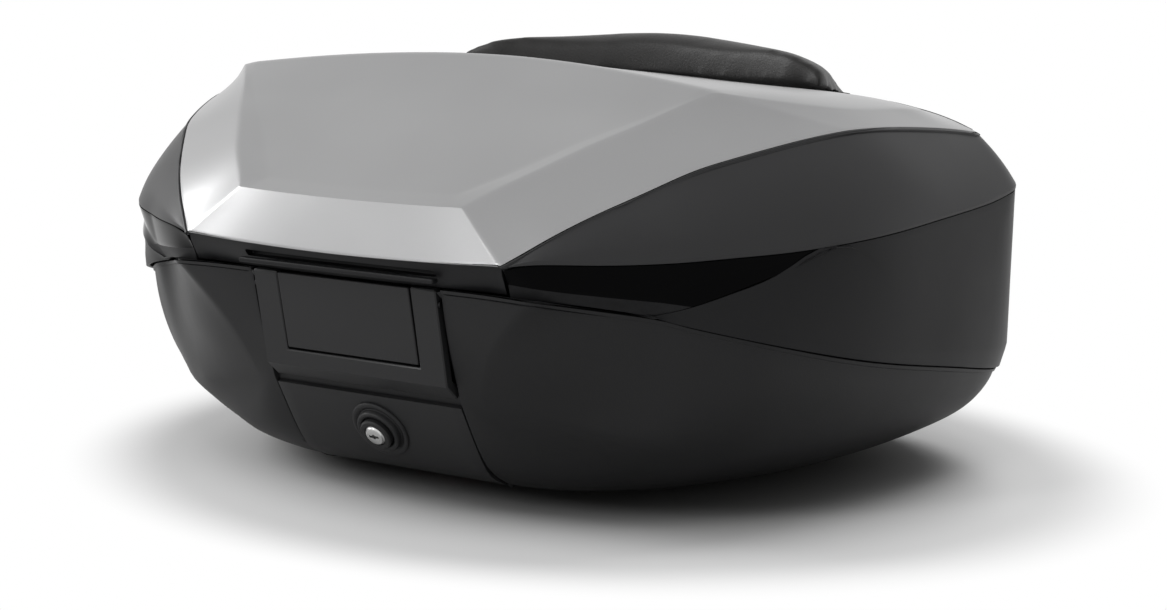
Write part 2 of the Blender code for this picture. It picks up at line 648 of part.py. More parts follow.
def make_tub():
    tub = bowl("lower_shell", tub_rows(), "black_plastic")
    solidify(tub, SHELL_WALL, even=False)
    hole = cylinder("lock_hole_tub", PLUG_R + HOUSING_WALL + 2 * HOLE_GAP, .060, lock_point(.02), lock_axis(), None,
                    where=CUTTERS)
    cut(tub, as_cutter(hole))
    smooth(tub)
    rows = tray_rows()
    bm = bmesh.new()
    loft_faces(bm, rows[1], rows[0])
    tray_wall = add_object("tray_wall", bm, "liner")
    mirror(tray_wall)
    rows[1] = [p - v(0, 0, GAP) for p in rows[1]]
    tray = bowl("inner_tray", rows[1:], "liner")
    for piece in (tray_wall, tray):
        solidify(piece, LINER_WALL, 1)
        smooth(piece)

    outline = [(x * MAT_SHARE, y * MAT_SHARE) for x, y in SLEEVE]
    bm = bmesh.new()
    ring = [bm.verts.new((x, y, TRAY_FLOOR_Z + GAP)) for x, y in outline + [(-x, y) for x, y in outline[-2:0:-1]]]
    made = bmesh.ops.extrude_face_region(bm, geom=[bm.faces.new(ring)])
    lifted = [item for item in made["geom"] if isinstance(item, bmesh.types.BMVert)]
    bmesh.ops.translate(bm, vec=(0, 0, MAT_THICK), verts=lifted)
    bmesh.ops.recalc_face_normals(bm, faces=bm.faces)
    smooth(add_object("floor_mat", bm, "mat"))

    rows = [[p.copy() for p in row[:STEP_STATION]] for row in tub_rows()[3:]]
    for row in rows:
        row[-1].x = BAY_EDGE - GAP
    rows[0] = row_mix(rows[0], rows[1], .03)
    rows[2] = row_mix(rows[2], rows[1], .12)
    bm = bmesh.new()
    loft_faces(bm, *pushed_rows(rows[::-1], GAP))
    panel = add_object("lock_panel", bm, "dark_satin")
    mirror(panel)
    solidify(panel, PANEL_WALL, 1)
    hole = cylinder("lock_hole_panel", PLUG_R + HOUSING_WALL + HOLE_GAP, .060, lock_point(.02), lock_axis(), None,
                    where=CUTTERS)
    cut(panel, as_cutter(hole))
    smooth(panel)


def turned(name, profile, finish, place, axis, steps=40):
    """A ring or rod turned about its axis from (radius, height) points, outer side first."""
    bm = bmesh.new()
    points = [bm.verts.new((radius, 0, height)) for radius, height in profile]
    for low, high in zip(points, points[1:] + points[:1]):
        bm.edges.new((low, high))
    ob = add_object(name, bm, finish)
    add_modifier(ob, "SCREW", steps=steps, render_steps=steps, use_merge_vertices=True, merge_threshold=.00005,
                 use_smooth_shade=False)
    ob.rotation_mode = "QUATERNION"
    ob.rotation_quaternion = Vector((0, 0, 1)).rotation_difference(Vector(axis))
    ob.location = place
    return ob


def make_lock():
    axis = lock_axis()
    panel_depth = (v(0, LOCK_Y, LOCK_Z) - panel_foot()).dot(axis)
    housing_r = PLUG_R + HOUSING_WALL
    bore = housing_r + HOLE_GAP
    top = panel_depth - GAP - BOSS_HEIGHT
    near, far = BOSS_GROOVE
    foot = panel_depth - GAP
    bed = top + GROOVE_DEPTH
    profile = [(BOSS_R, -foot), (bore, -foot), (bore, -top), (BOSS_R - far, -top), (BOSS_R - far + GROOVE_DRAFT, -bed),
               (BOSS_R - near - GROOVE_DRAFT, -bed), (BOSS_R - near, -top), (BOSS_R - BOSS_CHAMFER[0], -top),
               (BOSS_R, -top - BOSS_CHAMFER[1])]
    turned("lock_boss", profile, "dark_satin", v(0, LOCK_Y, LOCK_Z), axis)
    inner = PLUG_R + PIN_GAP
    foot, face = -PLUG_LENGTH + GAP, -HOUSING_BACK
    profile = [(housing_r, foot), (inner, foot), (inner, face - HOUSING_EDGE), (inner, face),
               (housing_r - HOUSING_EDGE, face), (housing_r, face - HOUSING_EDGE)]
    turned("lock_housing", profile, "dark_satin", v(0, LOCK_Y, LOCK_Z), axis)
    plug = cylinder("key_plug", PLUG_R, PLUG_LENGTH, lock_point(PLUG_LENGTH / 2), axis, "lock_metal", 40)
    bevel(plug, .0004, 1)
    slot = rounded_box("key_slot", KEY_SLOT, lock_point(KEY_SLOT[2] / 4), None, 0, where=CUTTERS)
    slot.rotation_mode = "QUATERNION"
    slot.rotation_quaternion = Vector((0, 0, 1)).rotation_difference(axis)
    cut(plug, as_cutter(slot))
    cam = rounded_box("lock_cam", (CAM_WIDTH, CAM_LENGTH, CAM_THICK),
                      lock_point(PLUG_LENGTH + GAP + CAM_THICK / 2), "steel", .0006, 1)
    cam.rotation_mode = "QUATERNION"
    cam.rotation_quaternion = Vector((0, 0, 1)).rotation_difference(axis)


def panel_foot():
    """Where the lock's axis meets the panel's face."""
    a = tub_rows()[3][0]
    normal = lock_axis()
    centre = v(0, LOCK_Y, LOCK_Z)
    return centre - normal * ((centre - a).dot(normal) - PANEL_WALL - GAP)


def tub_face(z):
    """The y of the bay's back wall at this height."""
    middle = [TUB_CREASE[0], TUB_WAIST[0], TUB_RIM[0]]
    low, high = (middle[0], middle[1]) if z < middle[1].z else (middle[1], middle[2])
    return mix(low, high, (z - low.z) / (high.z - low.z)).y


def make_handle():
    def face(x, place):
        return v(x, place[0], place[1])
    inner = HANDLE_HALF - HANDLE_BAR
    bm = bmesh.new()
    middle = ((HANDLE_TOP[0] + HANDLE_INNER_LOW[0]) / 2, (HANDLE_TOP[1] + HANDLE_INNER_LOW[1]) / 2)
    loft_faces(bm, *[[face(inner, place), face(HANDLE_HALF, place)]
                     for place in (HANDLE_INNER_LOW, middle, HANDLE_TOP)])
    loft_faces(bm, *[[face(0, place), face(inner, place), face(HANDLE_HALF, place)]
                     for place in (HANDLE_LOW, HANDLE_FOLD, HANDLE_INNER_LOW)])
    join_patches(bm)
    handle = add_object("carry_handle", bm, "dark_satin")
    mirror(handle)
    solidify(handle, HANDLE_WALL)
    bevel(handle, .0008, 1)
    bore = cylinder("handle_bore", AXLE_R + PIN_GAP, .2, v(0, AXLE_Y, AXLE_Z), (1, 0, 0), None, 24, CUTTERS)
    cut(handle, as_cutter(bore))
    back = tub_face(HANDLE_LOW[1]) - HANDLE_BACK
    room = rounded_box("handle_back", (.2, .02, .03), v(0, back + .01, HANDLE_LOW[1]), None, 0, where=CUTTERS)
    cut(handle, as_cutter(room))
    outer_end = BAY_EDGE - GAP
    length = outer_end - inner - AXLE_INSET
    for side, tail in ((1, "right"), (-1, "left")):
        cylinder("handle_pin_" + tail, AXLE_R, length, v(side * (outer_end - length / 2), AXLE_Y, AXLE_Z), (1, 0, 0),
                 "steel", 24)

    half = inner - SEAM
    top, low = [(y - .0004, z + .0003) for y, z in (HANDLE_TOP, HANDLE_INNER_LOW)]
    bm = bmesh.new()
    low = (low[0], low[1] + SEAM)
    loft_faces(bm, [face(0, low), face(half, low)], [face(0, top), face(half, top)])
    plate = add_object("latch_cover", bm, "dark_satin")
    mirror(plate)
    solidify(plate, COVER_PLATE_WALL)
    for i, (x, z) in enumerate(((-.040, .108), (.040, .108), (-.040, .130), (.040, .130))):
        back = tub_face(z) - POST_ROOM
        front = mix(v(0, *low), v(0, *top), (z - low[1]) / (top[1] - low[1])).y + COVER_PLATE_WALL / 2
        post = rounded_box("cover_post_%d" % i, (.008, back - front, .006), v(x, (front + back) / 2, z), None, 0,
                           where=CUTTERS)
        cut(plate, as_cutter(post), "UNION")


def make_bottom():
    top = FLOOR_Z - GAP
    middle = top - PLATE_THICK / 2
    plate = rounded_box("mounting_plate", (2 * PLATE_X, 2 * PLATE_Y, PLATE_THICK), v(0, 0, middle), "black_plastic",
                        .001, 1)
    length = TONGUE_LENGTH - TONGUE_PROUD + TONGUE_TRAVEL + .002
    channel = rounded_box("tongue_channel", (2 * (TONGUE_HALF + GAP), 2 * length, .05), v(0, -PLATE_Y, middle), None,
                          0, where=CUTTERS)
    cut(plate, as_cutter(channel))
    tongue = rounded_box("rack_tongue", (2 * TONGUE_HALF, TONGUE_LENGTH, PLATE_THICK - 2 * GAP),
                         v(0, -PLATE_Y - TONGUE_PROUD + TONGUE_LENGTH / 2, middle), "clip_red", .0008, 1)
    keeper_top = top - PLATE_THICK - GAP
    rounded_box("tongue_keeper", (2 * TONGUE_HALF + .018, .028, KEEPER_THICK),
                v(0, -PLATE_Y + .022, keeper_top - KEEPER_THICK / 2), "steel", .0005, 1)
    screws = []
    for side in (-1, 1):
        screws.append(cylinder("keeper_screw_%d" % (len(screws) + 1), SCREW_R * .7, SCREW_HEAD * .7,
                               v(side * (TONGUE_HALF + .005), -PLATE_Y + .022,
                                 keeper_top - KEEPER_THICK - GAP - SCREW_HEAD * .35), (0, 0, 1), "steel", 16))
    feet = []
    for x, y, plate_room in FOOT_PLACES:
        height = FLOOR_Z - GAP - plate_room
        for side in (-1, 1):
            foot = cylinder("rubber_foot_%d" % (len(feet) + 1), FOOT_R, height, v(side * x, y, height / 2), (0, 0, 1),
                            "foot_rubber", 24)
            bevel(foot, .001, 1)
            feet.append(foot)
    heads = []
    for y in (-.02, .06):
        for side in (-1, 1):
            heads.append(cylinder("tray_screw_%d" % (len(heads) + 1), SCREW_R, SCREW_HEAD,
                                  v(side * .155, y, TRAY_FLOOR_Z + GAP + SCREW_HEAD / 2), (0, 0, 1), "steel", 16))


def make_lift():
    for side, tail in ((1, "right"), (-1, "left")):
        def box(name, x0, x1, half, z0, z1, finish, radius=0, where=None):
            return rounded_box(name, (x1 - x0, 2 * half, z1 - z0), v(side * (x0 + x1) / 2, RAIL_Y, (z0 + z1) / 2),
                               finish, radius, 1, where=where)
        outer = RAIL_X + RAIL_THICK
        rail = box("lift_rail_" + tail, RAIL_X, outer, RAIL_HALF, RAIL_LOW, RAIL_TOP, "dark_satin")
        foot = box("rail_foot_" + tail, RAIL_X + .001, FOOT_X, RAIL_HALF * .9, RAIL_LOW + .0005, RAIL_LOW + .006,
                   None, where=CUTTERS)
        cut(rail, as_cutter(foot), "UNION")
        for step in range(3):
            z = NOTCH_Z + step * LIFT_STEP
            notch = box("notch_%d_%s" % (step, tail), outer - NOTCH_DEPTH, outer + .01, CATCH_HALF + GAP,
                        z - CATCH_HEIGHT / 2 - GAP, z + CATCH_HEIGHT / 2 + GAP, None, where=CUTTERS)
            cut(rail, as_cutter(notch))
        nose = outer + GAP
        catch = box("lift_catch_" + tail, nose, nose + CATCH_LENGTH, CATCH_HALF, NOTCH_Z - CATCH_HEIGHT / 2,
                    NOTCH_Z + CATCH_HEIGHT / 2, "clip_red")
        stem_length = GUIDE_X + GUIDE_WALL + .004 - nose
        stem = cylinder("catch_stem_" + tail, STEM_R, stem_length, v(side * (nose + .002 + stem_length / 2), RAIL_Y,
                        NOTCH_Z), (1, 0, 0), None, 16, CUTTERS)
        cut(catch, as_cutter(stem), "UNION")
        wall_in = SLEEVE[14][0] + FRAME_WALL + 2 * GAP
        half = RAIL_HALF + .0015 + GUIDE_WALL
        low, high = NOTCH_Z - GUIDE_HEIGHT / 2, NOTCH_Z + GUIDE_HEIGHT / 2
        guide = box("catch_guide_" + tail, wall_in, GUIDE_X + GUIDE_WALL, half, low, high, "black_plastic")
        room = box("guide_room_" + tail, wall_in - .01, GUIDE_X, half - GUIDE_WALL, low - .01, high + .01, None,
                   where=CUTTERS)
        cut(guide, as_cutter(room))
        hole = cylinder("guide_hole_" + tail, STEM_R + PIN_GAP * 2, .05, v(side * GUIDE_X, RAIL_Y, NOTCH_Z),
                        (1, 0, 0), None, 16, CUTTERS)
        cut(guide, as_cutter(hole))


def make_seal():
    wall = frame_wall()
    shelf = shelf_row(wall)
    low, back = [[p + v(0, 0, GAP) for p in row] for row in seal_rows(wall, shelf)]
    rise = v(0, 0, SEAL_HEIGHT)
    bm = bmesh.new()
    loft_faces(bm, low, [p + rise for p in low], [p + rise for p in back], back, low)
    join_patches(bm)
    bmesh.ops.recalc_face_normals(bm, faces=bm.faces)
    seal = add_object("rim_seal", bm, "seal_rubber")
    mirror(seal)
    smooth(seal)


def make_band():
    outer_top = [p - v(0, 0, SEAM) for p in RIM[:CORNER + 1]]
    outer_low, inner_low, inner_top = [], [], []
    for i, p in enumerate(outer_top):
        last = i == CORNER
        low_y = p.y + (BAND_END_TUCK if last else BAND_TUCK)
        outer_low.append(v(p.x * .992, low_y, BAND_LOW_Z))
        inner_low.append(v(p.x * .985, low_y + BAND_END_WALL if last else BAND_BACK_Y, BAND_LOW_Z))
        inner_top.append(v(p.x * .985, p.y + BAND_END_WALL if last else BAND_BACK_Y, p.z - BAND_SLOPE))
        if i == CORNER - 1:
            inner_low[-1].x = inner_top[-1].x = BAND_TURN_X
    middle = [mix(a, b, .35) + v(0, -.0012, 0) for a, b in zip(outer_top, outer_low)]
    bm = bmesh.new()
    inner_middle = row_mix(inner_top, inner_low, .35)
    inner_middle[-1].y = middle[-1].y + BAND_END_WALL
    rows = [outer_low, middle, outer_top, inner_top, inner_middle, inner_low]
    loft_faces(bm, *rows, outer_low)
    end = [row[-1] for row in rows]
    bm.faces.new([bm.verts.new(p) for p in end])
    join_patches(bm)
    bmesh.ops.recalc_face_normals(bm, faces=bm.faces)
    band = add_object("front_band", bm, "black_plastic")
    mirror(band)
    slot = rounded_box("band_slot", (2 * BAND_SLOT_HALF, 2 * BAND_SLOT_DEPTH, BAND_SLOT_HEIGHT),
                       v(0, RIM[0].y + .001, BAND_SLOT_Z), None, .0012, 1, where=CUTTERS)
    cut(band, as_cutter(slot))
    smooth(band)


def make_latch():
    bar = v(0, STRIKER_Y, STRIKER_Z)
    striker = rounded_box("striker", (2 * LEG_X + 2 * LEG_WALL, *STRIKER_PLATE), v(0, *STRIKER_PLATE_AT), "steel", 0)
    for side in (-1, 1):
        leg = rounded_box("striker_leg_%d" % side, (LEG_WALL, LEG_DEPTH, LEG_Z[1] - LEG_Z[0]),
                          v(side * LEG_X, STRIKER_Y, sum(LEG_Z) / 2), None, 0, where=CUTTERS)
        cut(striker, as_cutter(leg), "UNION")
    rod = cylinder("striker_rod", STRIKER_R, 2 * LEG_X, bar, (1, 0, 0), None, 20, CUTTERS)
    cut(striker, as_cutter(rod), "UNION")

    pivot = v(0, HOOK_Y, HOOK_Z)
    hook = cylinder("latch_hook", HOOK_EYE_R, 2 * HOOK_HALF, pivot, (1, 0, 0), "steel", 24)
    nose_low = STRIKER_Z + STRIKER_R + HOOK_ROOM
    reach = STRIKER_Y + STRIKER_R + HOOK_ROOM
    arm_y = HOOK_Y + HOOK_WALL / 2
    nose_top = nose_low + HOOK_WALL
    parts = [((2 * HOOK_HALF, HOOK_WALL, nose_top - HOOK_Z), v(0, HOOK_Y, (nose_top + HOOK_Z) / 2)),
             ((2 * HOOK_HALF, arm_y - reach, HOOK_WALL), v(0, (arm_y + reach) / 2, nose_low + HOOK_WALL / 2))]
    for i, (size, centre) in enumerate(parts):
        cut(hook, as_cutter(rounded_box("hook_part_%d" % i, size, centre, None, 0, where=CUTTERS)), "UNION")
    bore = cylinder("hook_bore", HOOK_PIN_R + PIN_GAP, .1, pivot, (1, 0, 0), None, 24, CUTTERS)
    cut(hook, as_cutter(bore))
    cylinder("latch_pin", HOOK_PIN_R, 2 * (EAR_X + EAR_WALL), pivot, (1, 0, 0), "steel", 24)

    sleeve_front = SLEEVE[0][1] - FRAME_WALL - 2 * GAP
    carrier = rounded_box("latch_carrier", (2 * EAR_X + EAR_WALL, CARRIER_WALL, CARRIER_HEIGHT),
                          v(0, sleeve_front - CARRIER_WALL / 2, HOOK_Z + CARRIER_RISE), "black_plastic", 0)
    root = sleeve_front - CARRIER_WALL / 2
    front = HOOK_Y - EAR_FRONT
    for side in (-1, 1):
        ear = rounded_box("carrier_ear_%d" % side, (EAR_WALL, root - front, EAR_HEIGHT),
                          v(side * EAR_X, (root + front) / 2, HOOK_Z + EAR_HEIGHT / 10), None, 0, where=CUTTERS)
        cut(carrier, as_cutter(ear), "UNION")
    bore = cylinder("carrier_bore", HOOK_PIN_R + PIN_GAP, .1, pivot, (1, 0, 0), None, 24, CUTTERS)
    cut(carrier, as_cutter(bore))


def station_mix(row):
    """The point of a row that lies behind the hinge's inner end, where the wall stands out most."""
    low, high = row[HINGE_STATION:HINGE_STATION + 2]
    return mix(low, high, (HINGE_X - KNUCKLE_LENGTH - low.x) / (high.x - low.x))


def make_hinges():
    wall = frame_wall()
    rim = wall[-1][HINGE_STATION]
    hem = wall[1][HINGE_STATION]
    lean = atan2(hem.y - rim.y, rim.z - hem.z)
    up = v(0, -sin(lean), cos(lean))
    out = v(0, cos(lean), sin(lean))
    slope = side_rows()
    low, high = [station_mix(row) for row in slope[1:3]]
    along = (high - low)
    along.x = 0
    along.normalize()
    rise = v(0, -along.z, along.y) * -1
    screws, strap_screws = [], []
    for side, tail in ((1, "right"), (-1, "left")):
        axis = v(side * HINGE_X, HINGE_Y, HINGE_Z)
        face = station_mix(wall[-1])
        top = v(side * HINGE_X, face.y, face.z) - up * .008
        centre = top - up * LEAF_HEIGHT / 2 + out * (HINGE_WALL / 2 + GAP * 2)
        leaf = rounded_box("hinge_leaf_" + tail, (2 * KNUCKLE_LENGTH, HINGE_WALL, LEAF_HEIGHT), centre, "steel", 0,
                           rotation=(lean, 0, 0))
        bridge_low = top.z - .004
        bridge = rounded_box("leaf_bridge_" + tail, (KNUCKLE_LENGTH, .0060, axis.z - bridge_low),
                             v(axis.x, axis.y - .0044, (axis.z + bridge_low) / 2), None, 0, where=CUTTERS)
        cut(leaf, as_cutter(bridge), "UNION")
        knuckle = cylinder("leaf_knuckle_" + tail, KNUCKLE_R, KNUCKLE_LENGTH, axis, (1, 0, 0), None, 24, CUTTERS)
        cut(leaf, as_cutter(knuckle), "UNION")
        bore = cylinder("hinge_bore_" + tail, HINGE_PIN_R + PIN_GAP, .1, axis, (1, 0, 0), None, 24, CUTTERS)
        cut(leaf, as_cutter(bore))
        span = KNUCKLE_LENGTH + 2 * STRAP_KNUCKLE + 4 * GAP
        cylinder("hinge_pin_" + tail, HINGE_PIN_R, span, axis, (1, 0, 0), "steel", 24)
        for dx in (-.012, .012):
            screws.append(cylinder("hinge_screw_%d" % (len(screws) + 1), SCREW_R * .8, SCREW_HEAD * .7,
                                   centre + v(dx, 0, 0) - up * .004 + out * (HINGE_WALL / 2 + GAP + SCREW_HEAD * .35),
                                   out, "steel", 16))
        start = v(axis.x, low.y, low.z) + along * .0015
        middle = start + along * STRAP_LENGTH / 2 + rise * (HINGE_WALL / 2 + GAP * 3)
        tilt = atan2(along.z, along.y)
        strap = rounded_box("hinge_strap_" + tail, (span, STRAP_LENGTH, HINGE_WALL), middle, "steel", 0,
                            rotation=(tilt, 0, 0))
        for end in (-1, 1):
            x = axis.x + end * (span - STRAP_KNUCKLE) / 2
            foot = v(x, middle.y, middle.z) - along * (STRAP_LENGTH / 2)
            target = v(x, axis.y - .0010, axis.z + .0026)
            reach = target - foot
            tail_box = rounded_box("strap_tail_%s_%d" % (tail, end), (STRAP_KNUCKLE, reach.length + .003, HINGE_WALL),
                                   (foot + target) / 2, None, 0, rotation=(atan2(reach.z, reach.y), 0, 0),
                                   where=CUTTERS)
            cut(strap, as_cutter(tail_box), "UNION")
            knuckle = cylinder("strap_knuckle_%s_%d" % (tail, end), KNUCKLE_R, STRAP_KNUCKLE, v(x, axis.y, axis.z),
                               (1, 0, 0), None, 24, CUTTERS)
            cut(strap, as_cutter(knuckle), "UNION")
        cut(strap, bore)
        for dx in (-.010, .010):
            place = middle + v(dx, 0, 0) + rise * (HINGE_WALL / 2 + GAP + SCREW_HEAD * .35)
            strap_screws.append(cylinder("strap_screw_%d" % (len(strap_screws) + 1), SCREW_R * .8, SCREW_HEAD * .7,
                                         place, rise, "steel", 16))


# backrest pad: half width at its front, then y and z of front foot, crest, back, lower back and toe
PAD = [(0, (.1200, .2560), (.1235, .2765), (.1300, .2815), (.1520, .2800), (.1920, .2620), (.2270, .2340),
        (.2315, .2230), (.2170, .2165)),
       (.060, (.1130, .2543), (.1160, .2740), (.1230, .2778), (.1500, .2770), (.1910, .2600), (.2255, .2335),
        (.2300, .2230), (.2160, .2165)),
       (.105, (.1040, .2541), (.1070, .2735), (.1140, .2765), (.1440, .2720), (.1860, .2565), (.2200, .2330),
        (.2250, .2230), (.2120, .2165)),
       (.130, (.0970, .2541), (.1000, .2712), (.1070, .2738), (.1380, .2685), (.1790, .2540), (.2110, .2320),
        (.2160, .2230), (.2060, .2165)),
       (.150, (.0970, .2530), (.0990, .2625), (.1060, .2650), (.1330, .2620), (.1700, .2490), (.1990, .2290),
        (.2040, .2215), (.1980, .2165)),
       (.165, (.1000, .2518), (.1015, .2560), (.1070, .2570), (.1300, .2545), (.1620, .2430), (.1850, .2260),
        (.1890, .2210), (.1860, .2180))]
PAD_NARROW = (.1030, .1400, .83)    # from this y to that one the pad narrows to this share
PAD_BACK = (.42, .58, .76, .92)     # where the pad lies on its plate, along the lid's rear slope
PAD_LIFT = .0082


def pad_point(half, y, z):
    start, end, share = PAD_NARROW
    return v(half * mix(1, share, min(1, max(0, (y - start) / (end - start)))), y, z)


def make_backrest():
    slope = side_rows()
    rows = [[p.copy() for p in row[REST_STATION:]] for row in slope]
    rows = [row_mix(rows[1], rows[2], .93), rows[2], rows[3], row_mix(rows[3], rows[4], .8)]
    for row in rows:
        row[0] = mix(row[1], row[0], .5)
    bm = bmesh.new()
    loft_faces(bm, *pushed_rows(rows, 2 * GAP))
    plate = add_object("backrest_plate", bm, "dark_satin")
    mirror(plate)
    solidify(plate, REST_WALL, 1)
    smooth(plate)

    bm = bmesh.new()
    loops = []
    for half, *outer in PAD:
        back = half * PAD_NARROW[2]
        i = next(k for k in range(len(RIM) - 2, 0, -1) if RIM[k].x >= back)
        share = (back - RIM[i + 1].x) / (RIM[i].x - RIM[i + 1].x)
        low, high = mix(RIM[i + 1], RIM[i], share), mix(EDGE[i + 1], EDGE[i], share)
        along = v(0, high.y - low.y, high.z - low.z).normalized()
        lift = v(0, along.z, -along.y) * PAD_LIFT
        inner = [v(back, low.y, low.z) + v(0, high.y - low.y, high.z - low.z) * t + lift for t in PAD_BACK]
        loops.append([pad_point(half, y, z) for y, z in outer] + inner)
    rings = [loop + loop[:1] for loop in loops]
    loft_faces(bm, *rings)
    bm.faces.new([bm.verts.new(p) for p in loops[-1]])
    join_patches(bm)
    bmesh.ops.recalc_face_normals(bm, faces=bm.faces)
    pad = add_object("backrest_pad", bm, "pad")
    mirror(pad)
    smooth(pad)


def hang(pivot, place, names):
    """Parents pieces to an empty on their joint's axis."""
    empty = bpy.data.objects.new(pivot, None)
    PARTS.objects.link(empty)
    empty.location = place
    for name in names:
        ob = bpy.data.objects[name]
        ob.parent = empty
        ob.matrix_parent_inverse = Matrix.Translation(-place)


def hang_movers():
    sides = ("right", "left")
    numbers = range(1, 5)
    hang("frame_lift", v(0, 0, SLEEVE_BOTTOM), ["frame_shell", "rim_seal", "latch_carrier", "latch_pin"]
         + [kind + tail for tail in sides for kind in ("gloss_insert_", "hinge_leaf_", "hinge_pin_", "catch_guide_")]
         + ["hinge_screw_%d" % n for n in numbers])
    hang("lid_hinge", v(0, HINGE_Y, HINGE_Z), ["lid_cover", "lid_shell", "front_band", "striker", "backrest_plate",
         "backrest_pad"] + ["hinge_strap_" + tail for tail in sides] + ["strap_screw_%d" % n for n in numbers])
    hang("handle_swing", v(0, AXLE_Y, AXLE_Z), ["carry_handle"])


def main():
    make_lid()
    make_frame()
    make_tub()
    make_lock()
    make_handle()
    make_bottom()
    make_lift()
    make_seal()
    make_band()
    make_latch()
    make_hinges()
    make_backrest()
    hang_movers()


PARTS = collection("top_case")
CUTTERS = collection("cutters")
main()
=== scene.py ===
import bpy
import bmesh
import json
from math import cos, pi, radians, sin
from mathutils import Matrix, Vector


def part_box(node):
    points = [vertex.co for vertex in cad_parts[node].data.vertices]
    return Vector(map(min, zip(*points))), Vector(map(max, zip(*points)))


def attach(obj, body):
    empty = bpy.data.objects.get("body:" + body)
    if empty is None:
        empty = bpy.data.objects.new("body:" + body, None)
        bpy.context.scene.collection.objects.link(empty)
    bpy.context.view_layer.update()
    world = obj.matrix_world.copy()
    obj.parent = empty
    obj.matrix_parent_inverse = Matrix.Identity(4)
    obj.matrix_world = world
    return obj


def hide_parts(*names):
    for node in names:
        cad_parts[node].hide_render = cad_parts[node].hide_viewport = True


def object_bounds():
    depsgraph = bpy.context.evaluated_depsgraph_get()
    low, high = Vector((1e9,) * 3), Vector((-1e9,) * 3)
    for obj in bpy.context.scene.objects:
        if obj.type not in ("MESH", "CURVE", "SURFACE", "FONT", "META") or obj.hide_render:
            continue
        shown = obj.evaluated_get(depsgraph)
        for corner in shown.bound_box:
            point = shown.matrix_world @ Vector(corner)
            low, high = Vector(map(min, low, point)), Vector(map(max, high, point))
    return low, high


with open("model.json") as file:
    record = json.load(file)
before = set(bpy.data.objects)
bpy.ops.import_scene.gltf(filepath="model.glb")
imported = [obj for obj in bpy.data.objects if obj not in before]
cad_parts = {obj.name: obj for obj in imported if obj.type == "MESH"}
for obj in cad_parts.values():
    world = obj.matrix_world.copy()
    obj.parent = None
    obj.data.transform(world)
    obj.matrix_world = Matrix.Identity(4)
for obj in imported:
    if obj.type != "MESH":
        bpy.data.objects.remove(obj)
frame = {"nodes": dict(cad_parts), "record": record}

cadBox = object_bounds()
for item in bpy.context.selected_objects:
    item.select_set(False)
bpy.context.view_layer.objects.active = None

# nearer than this, in metres, two points are one
mergeGap = {"cage": .00002, "cad": .00001, "middle": .000001}


def v(x, y, z):
    return Vector((x, y, z))


def mix(a, b, t):
    return a + (b - a) * t


def rowMix(low, high, t):
    return [mix(a, b, t) for a, b in zip(low, high)]


def points(table):
    return [v(*p) for p in table]


def outwardOf(p):
    # the level direction from the middle to a point
    return Vector((p.x, p.y, 0)).normalized()


def upTo(limit, near, far):
    # one value before a station and another from there on
    return lambda index: near if index < limit else far


def chosen(value, index):
    return value(index) if callable(value) else value


def loft(bm, rows, rowEdge=None, ribEdge=None):
    # skins neighbouring rows; rowEdge and ribEdge say how sharp the lines along and across stay
    crease = bm.edges.layers.float.get("crease_edge") or bm.edges.layers.float.new("crease_edge")
    grid = [[bm.verts.new(p) for p in row] for row in rows]
    last = len(grid[0]) - 1
    for low, high in zip(grid[:-1], grid[1:]):
        for i in range(last):
            bm.faces.new((low[i], low[i + 1], high[i + 1], high[i]))
    for r, value in (rowEdge or {}).items():
        for i in range(last):
            edge = bm.edges.get((grid[r][i], grid[r][i + 1]))
            edge[crease] = max(edge[crease], chosen(value, i))
    for i, value in (ribEdge or {}).items():
        for r in range(len(grid) - 1):
            edge = bm.edges.get((grid[r][i], grid[r + 1][i]))
            edge[crease] = max(edge[crease], chosen(value, r))


def weld(bm):
    bmesh.ops.remove_doubles(bm, verts=bm.verts, dist=mergeGap["cage"])
    bmesh.ops.dissolve_degenerate(bm, edges=bm.edges, dist=mergeGap["cage"])
    bm.normal_update()
    return bm


def bothHalves(bm):
    # the left half is the right one turned over the plane X = 0
    made = bmesh.ops.duplicate(bm, geom=bm.verts[:] + bm.edges[:] + bm.faces[:])["geom"]
    verts = [g for g in made if isinstance(g, bmesh.types.BMVert)]
    faces = [g for g in made if isinstance(g, bmesh.types.BMFace)]
    bmesh.ops.scale(bm, vec=(-1, 1, 1), verts=verts)
    bmesh.ops.reverse_faces(bm, faces=faces)
    return weld(bm)


def facingOut(bm):
    bmesh.ops.recalc_face_normals(bm, faces=bm.faces)
    return bm


def asObject(name, bm):
    mesh = bpy.data.meshes.new(name)
    bm.to_mesh(mesh)
    bm.free()
    piece = bpy.data.objects.new(name, mesh)
    bpy.context.scene.collection.objects.link(piece)
    return piece


def applied(piece, kind, **settings):
    mod = piece.modifiers.new(kind.title(), kind)
    for key, value in settings.items():
        setattr(mod, key, value)
    bpy.context.view_layer.objects.active = piece
    bpy.ops.object.modifier_apply(modifier=mod.name)
    return piece


def shaded(piece, angle=32):
    piece.data.shade_smooth()
    piece.data.set_sharp_from_angle(angle=radians(angle))
    return piece


def push(bm, distance):
    # moves a half skin along its normals and keeps its middle in the plane X = 0
    bm.normal_update()
    moves = []
    for vert in bm.verts:
        normal = vert.normal.copy()
        if abs(vert.co.x) < mergeGap["middle"]:
            normal.x = 0
            normal.normalize()
        moves.append((vert, normal * distance * vert.calc_shell_factor()))
    for vert, move in moves:
        vert.co += move


def pushedRows(rows, distance):
    bm = bmesh.new()
    loft(bm, rows)
    push(bm, distance)
    moved = [vert.co.copy() for vert in bm.verts]
    bm.free()
    width = len(rows[0])
    return [moved[i * width:(i + 1) * width] for i in range(len(rows))]


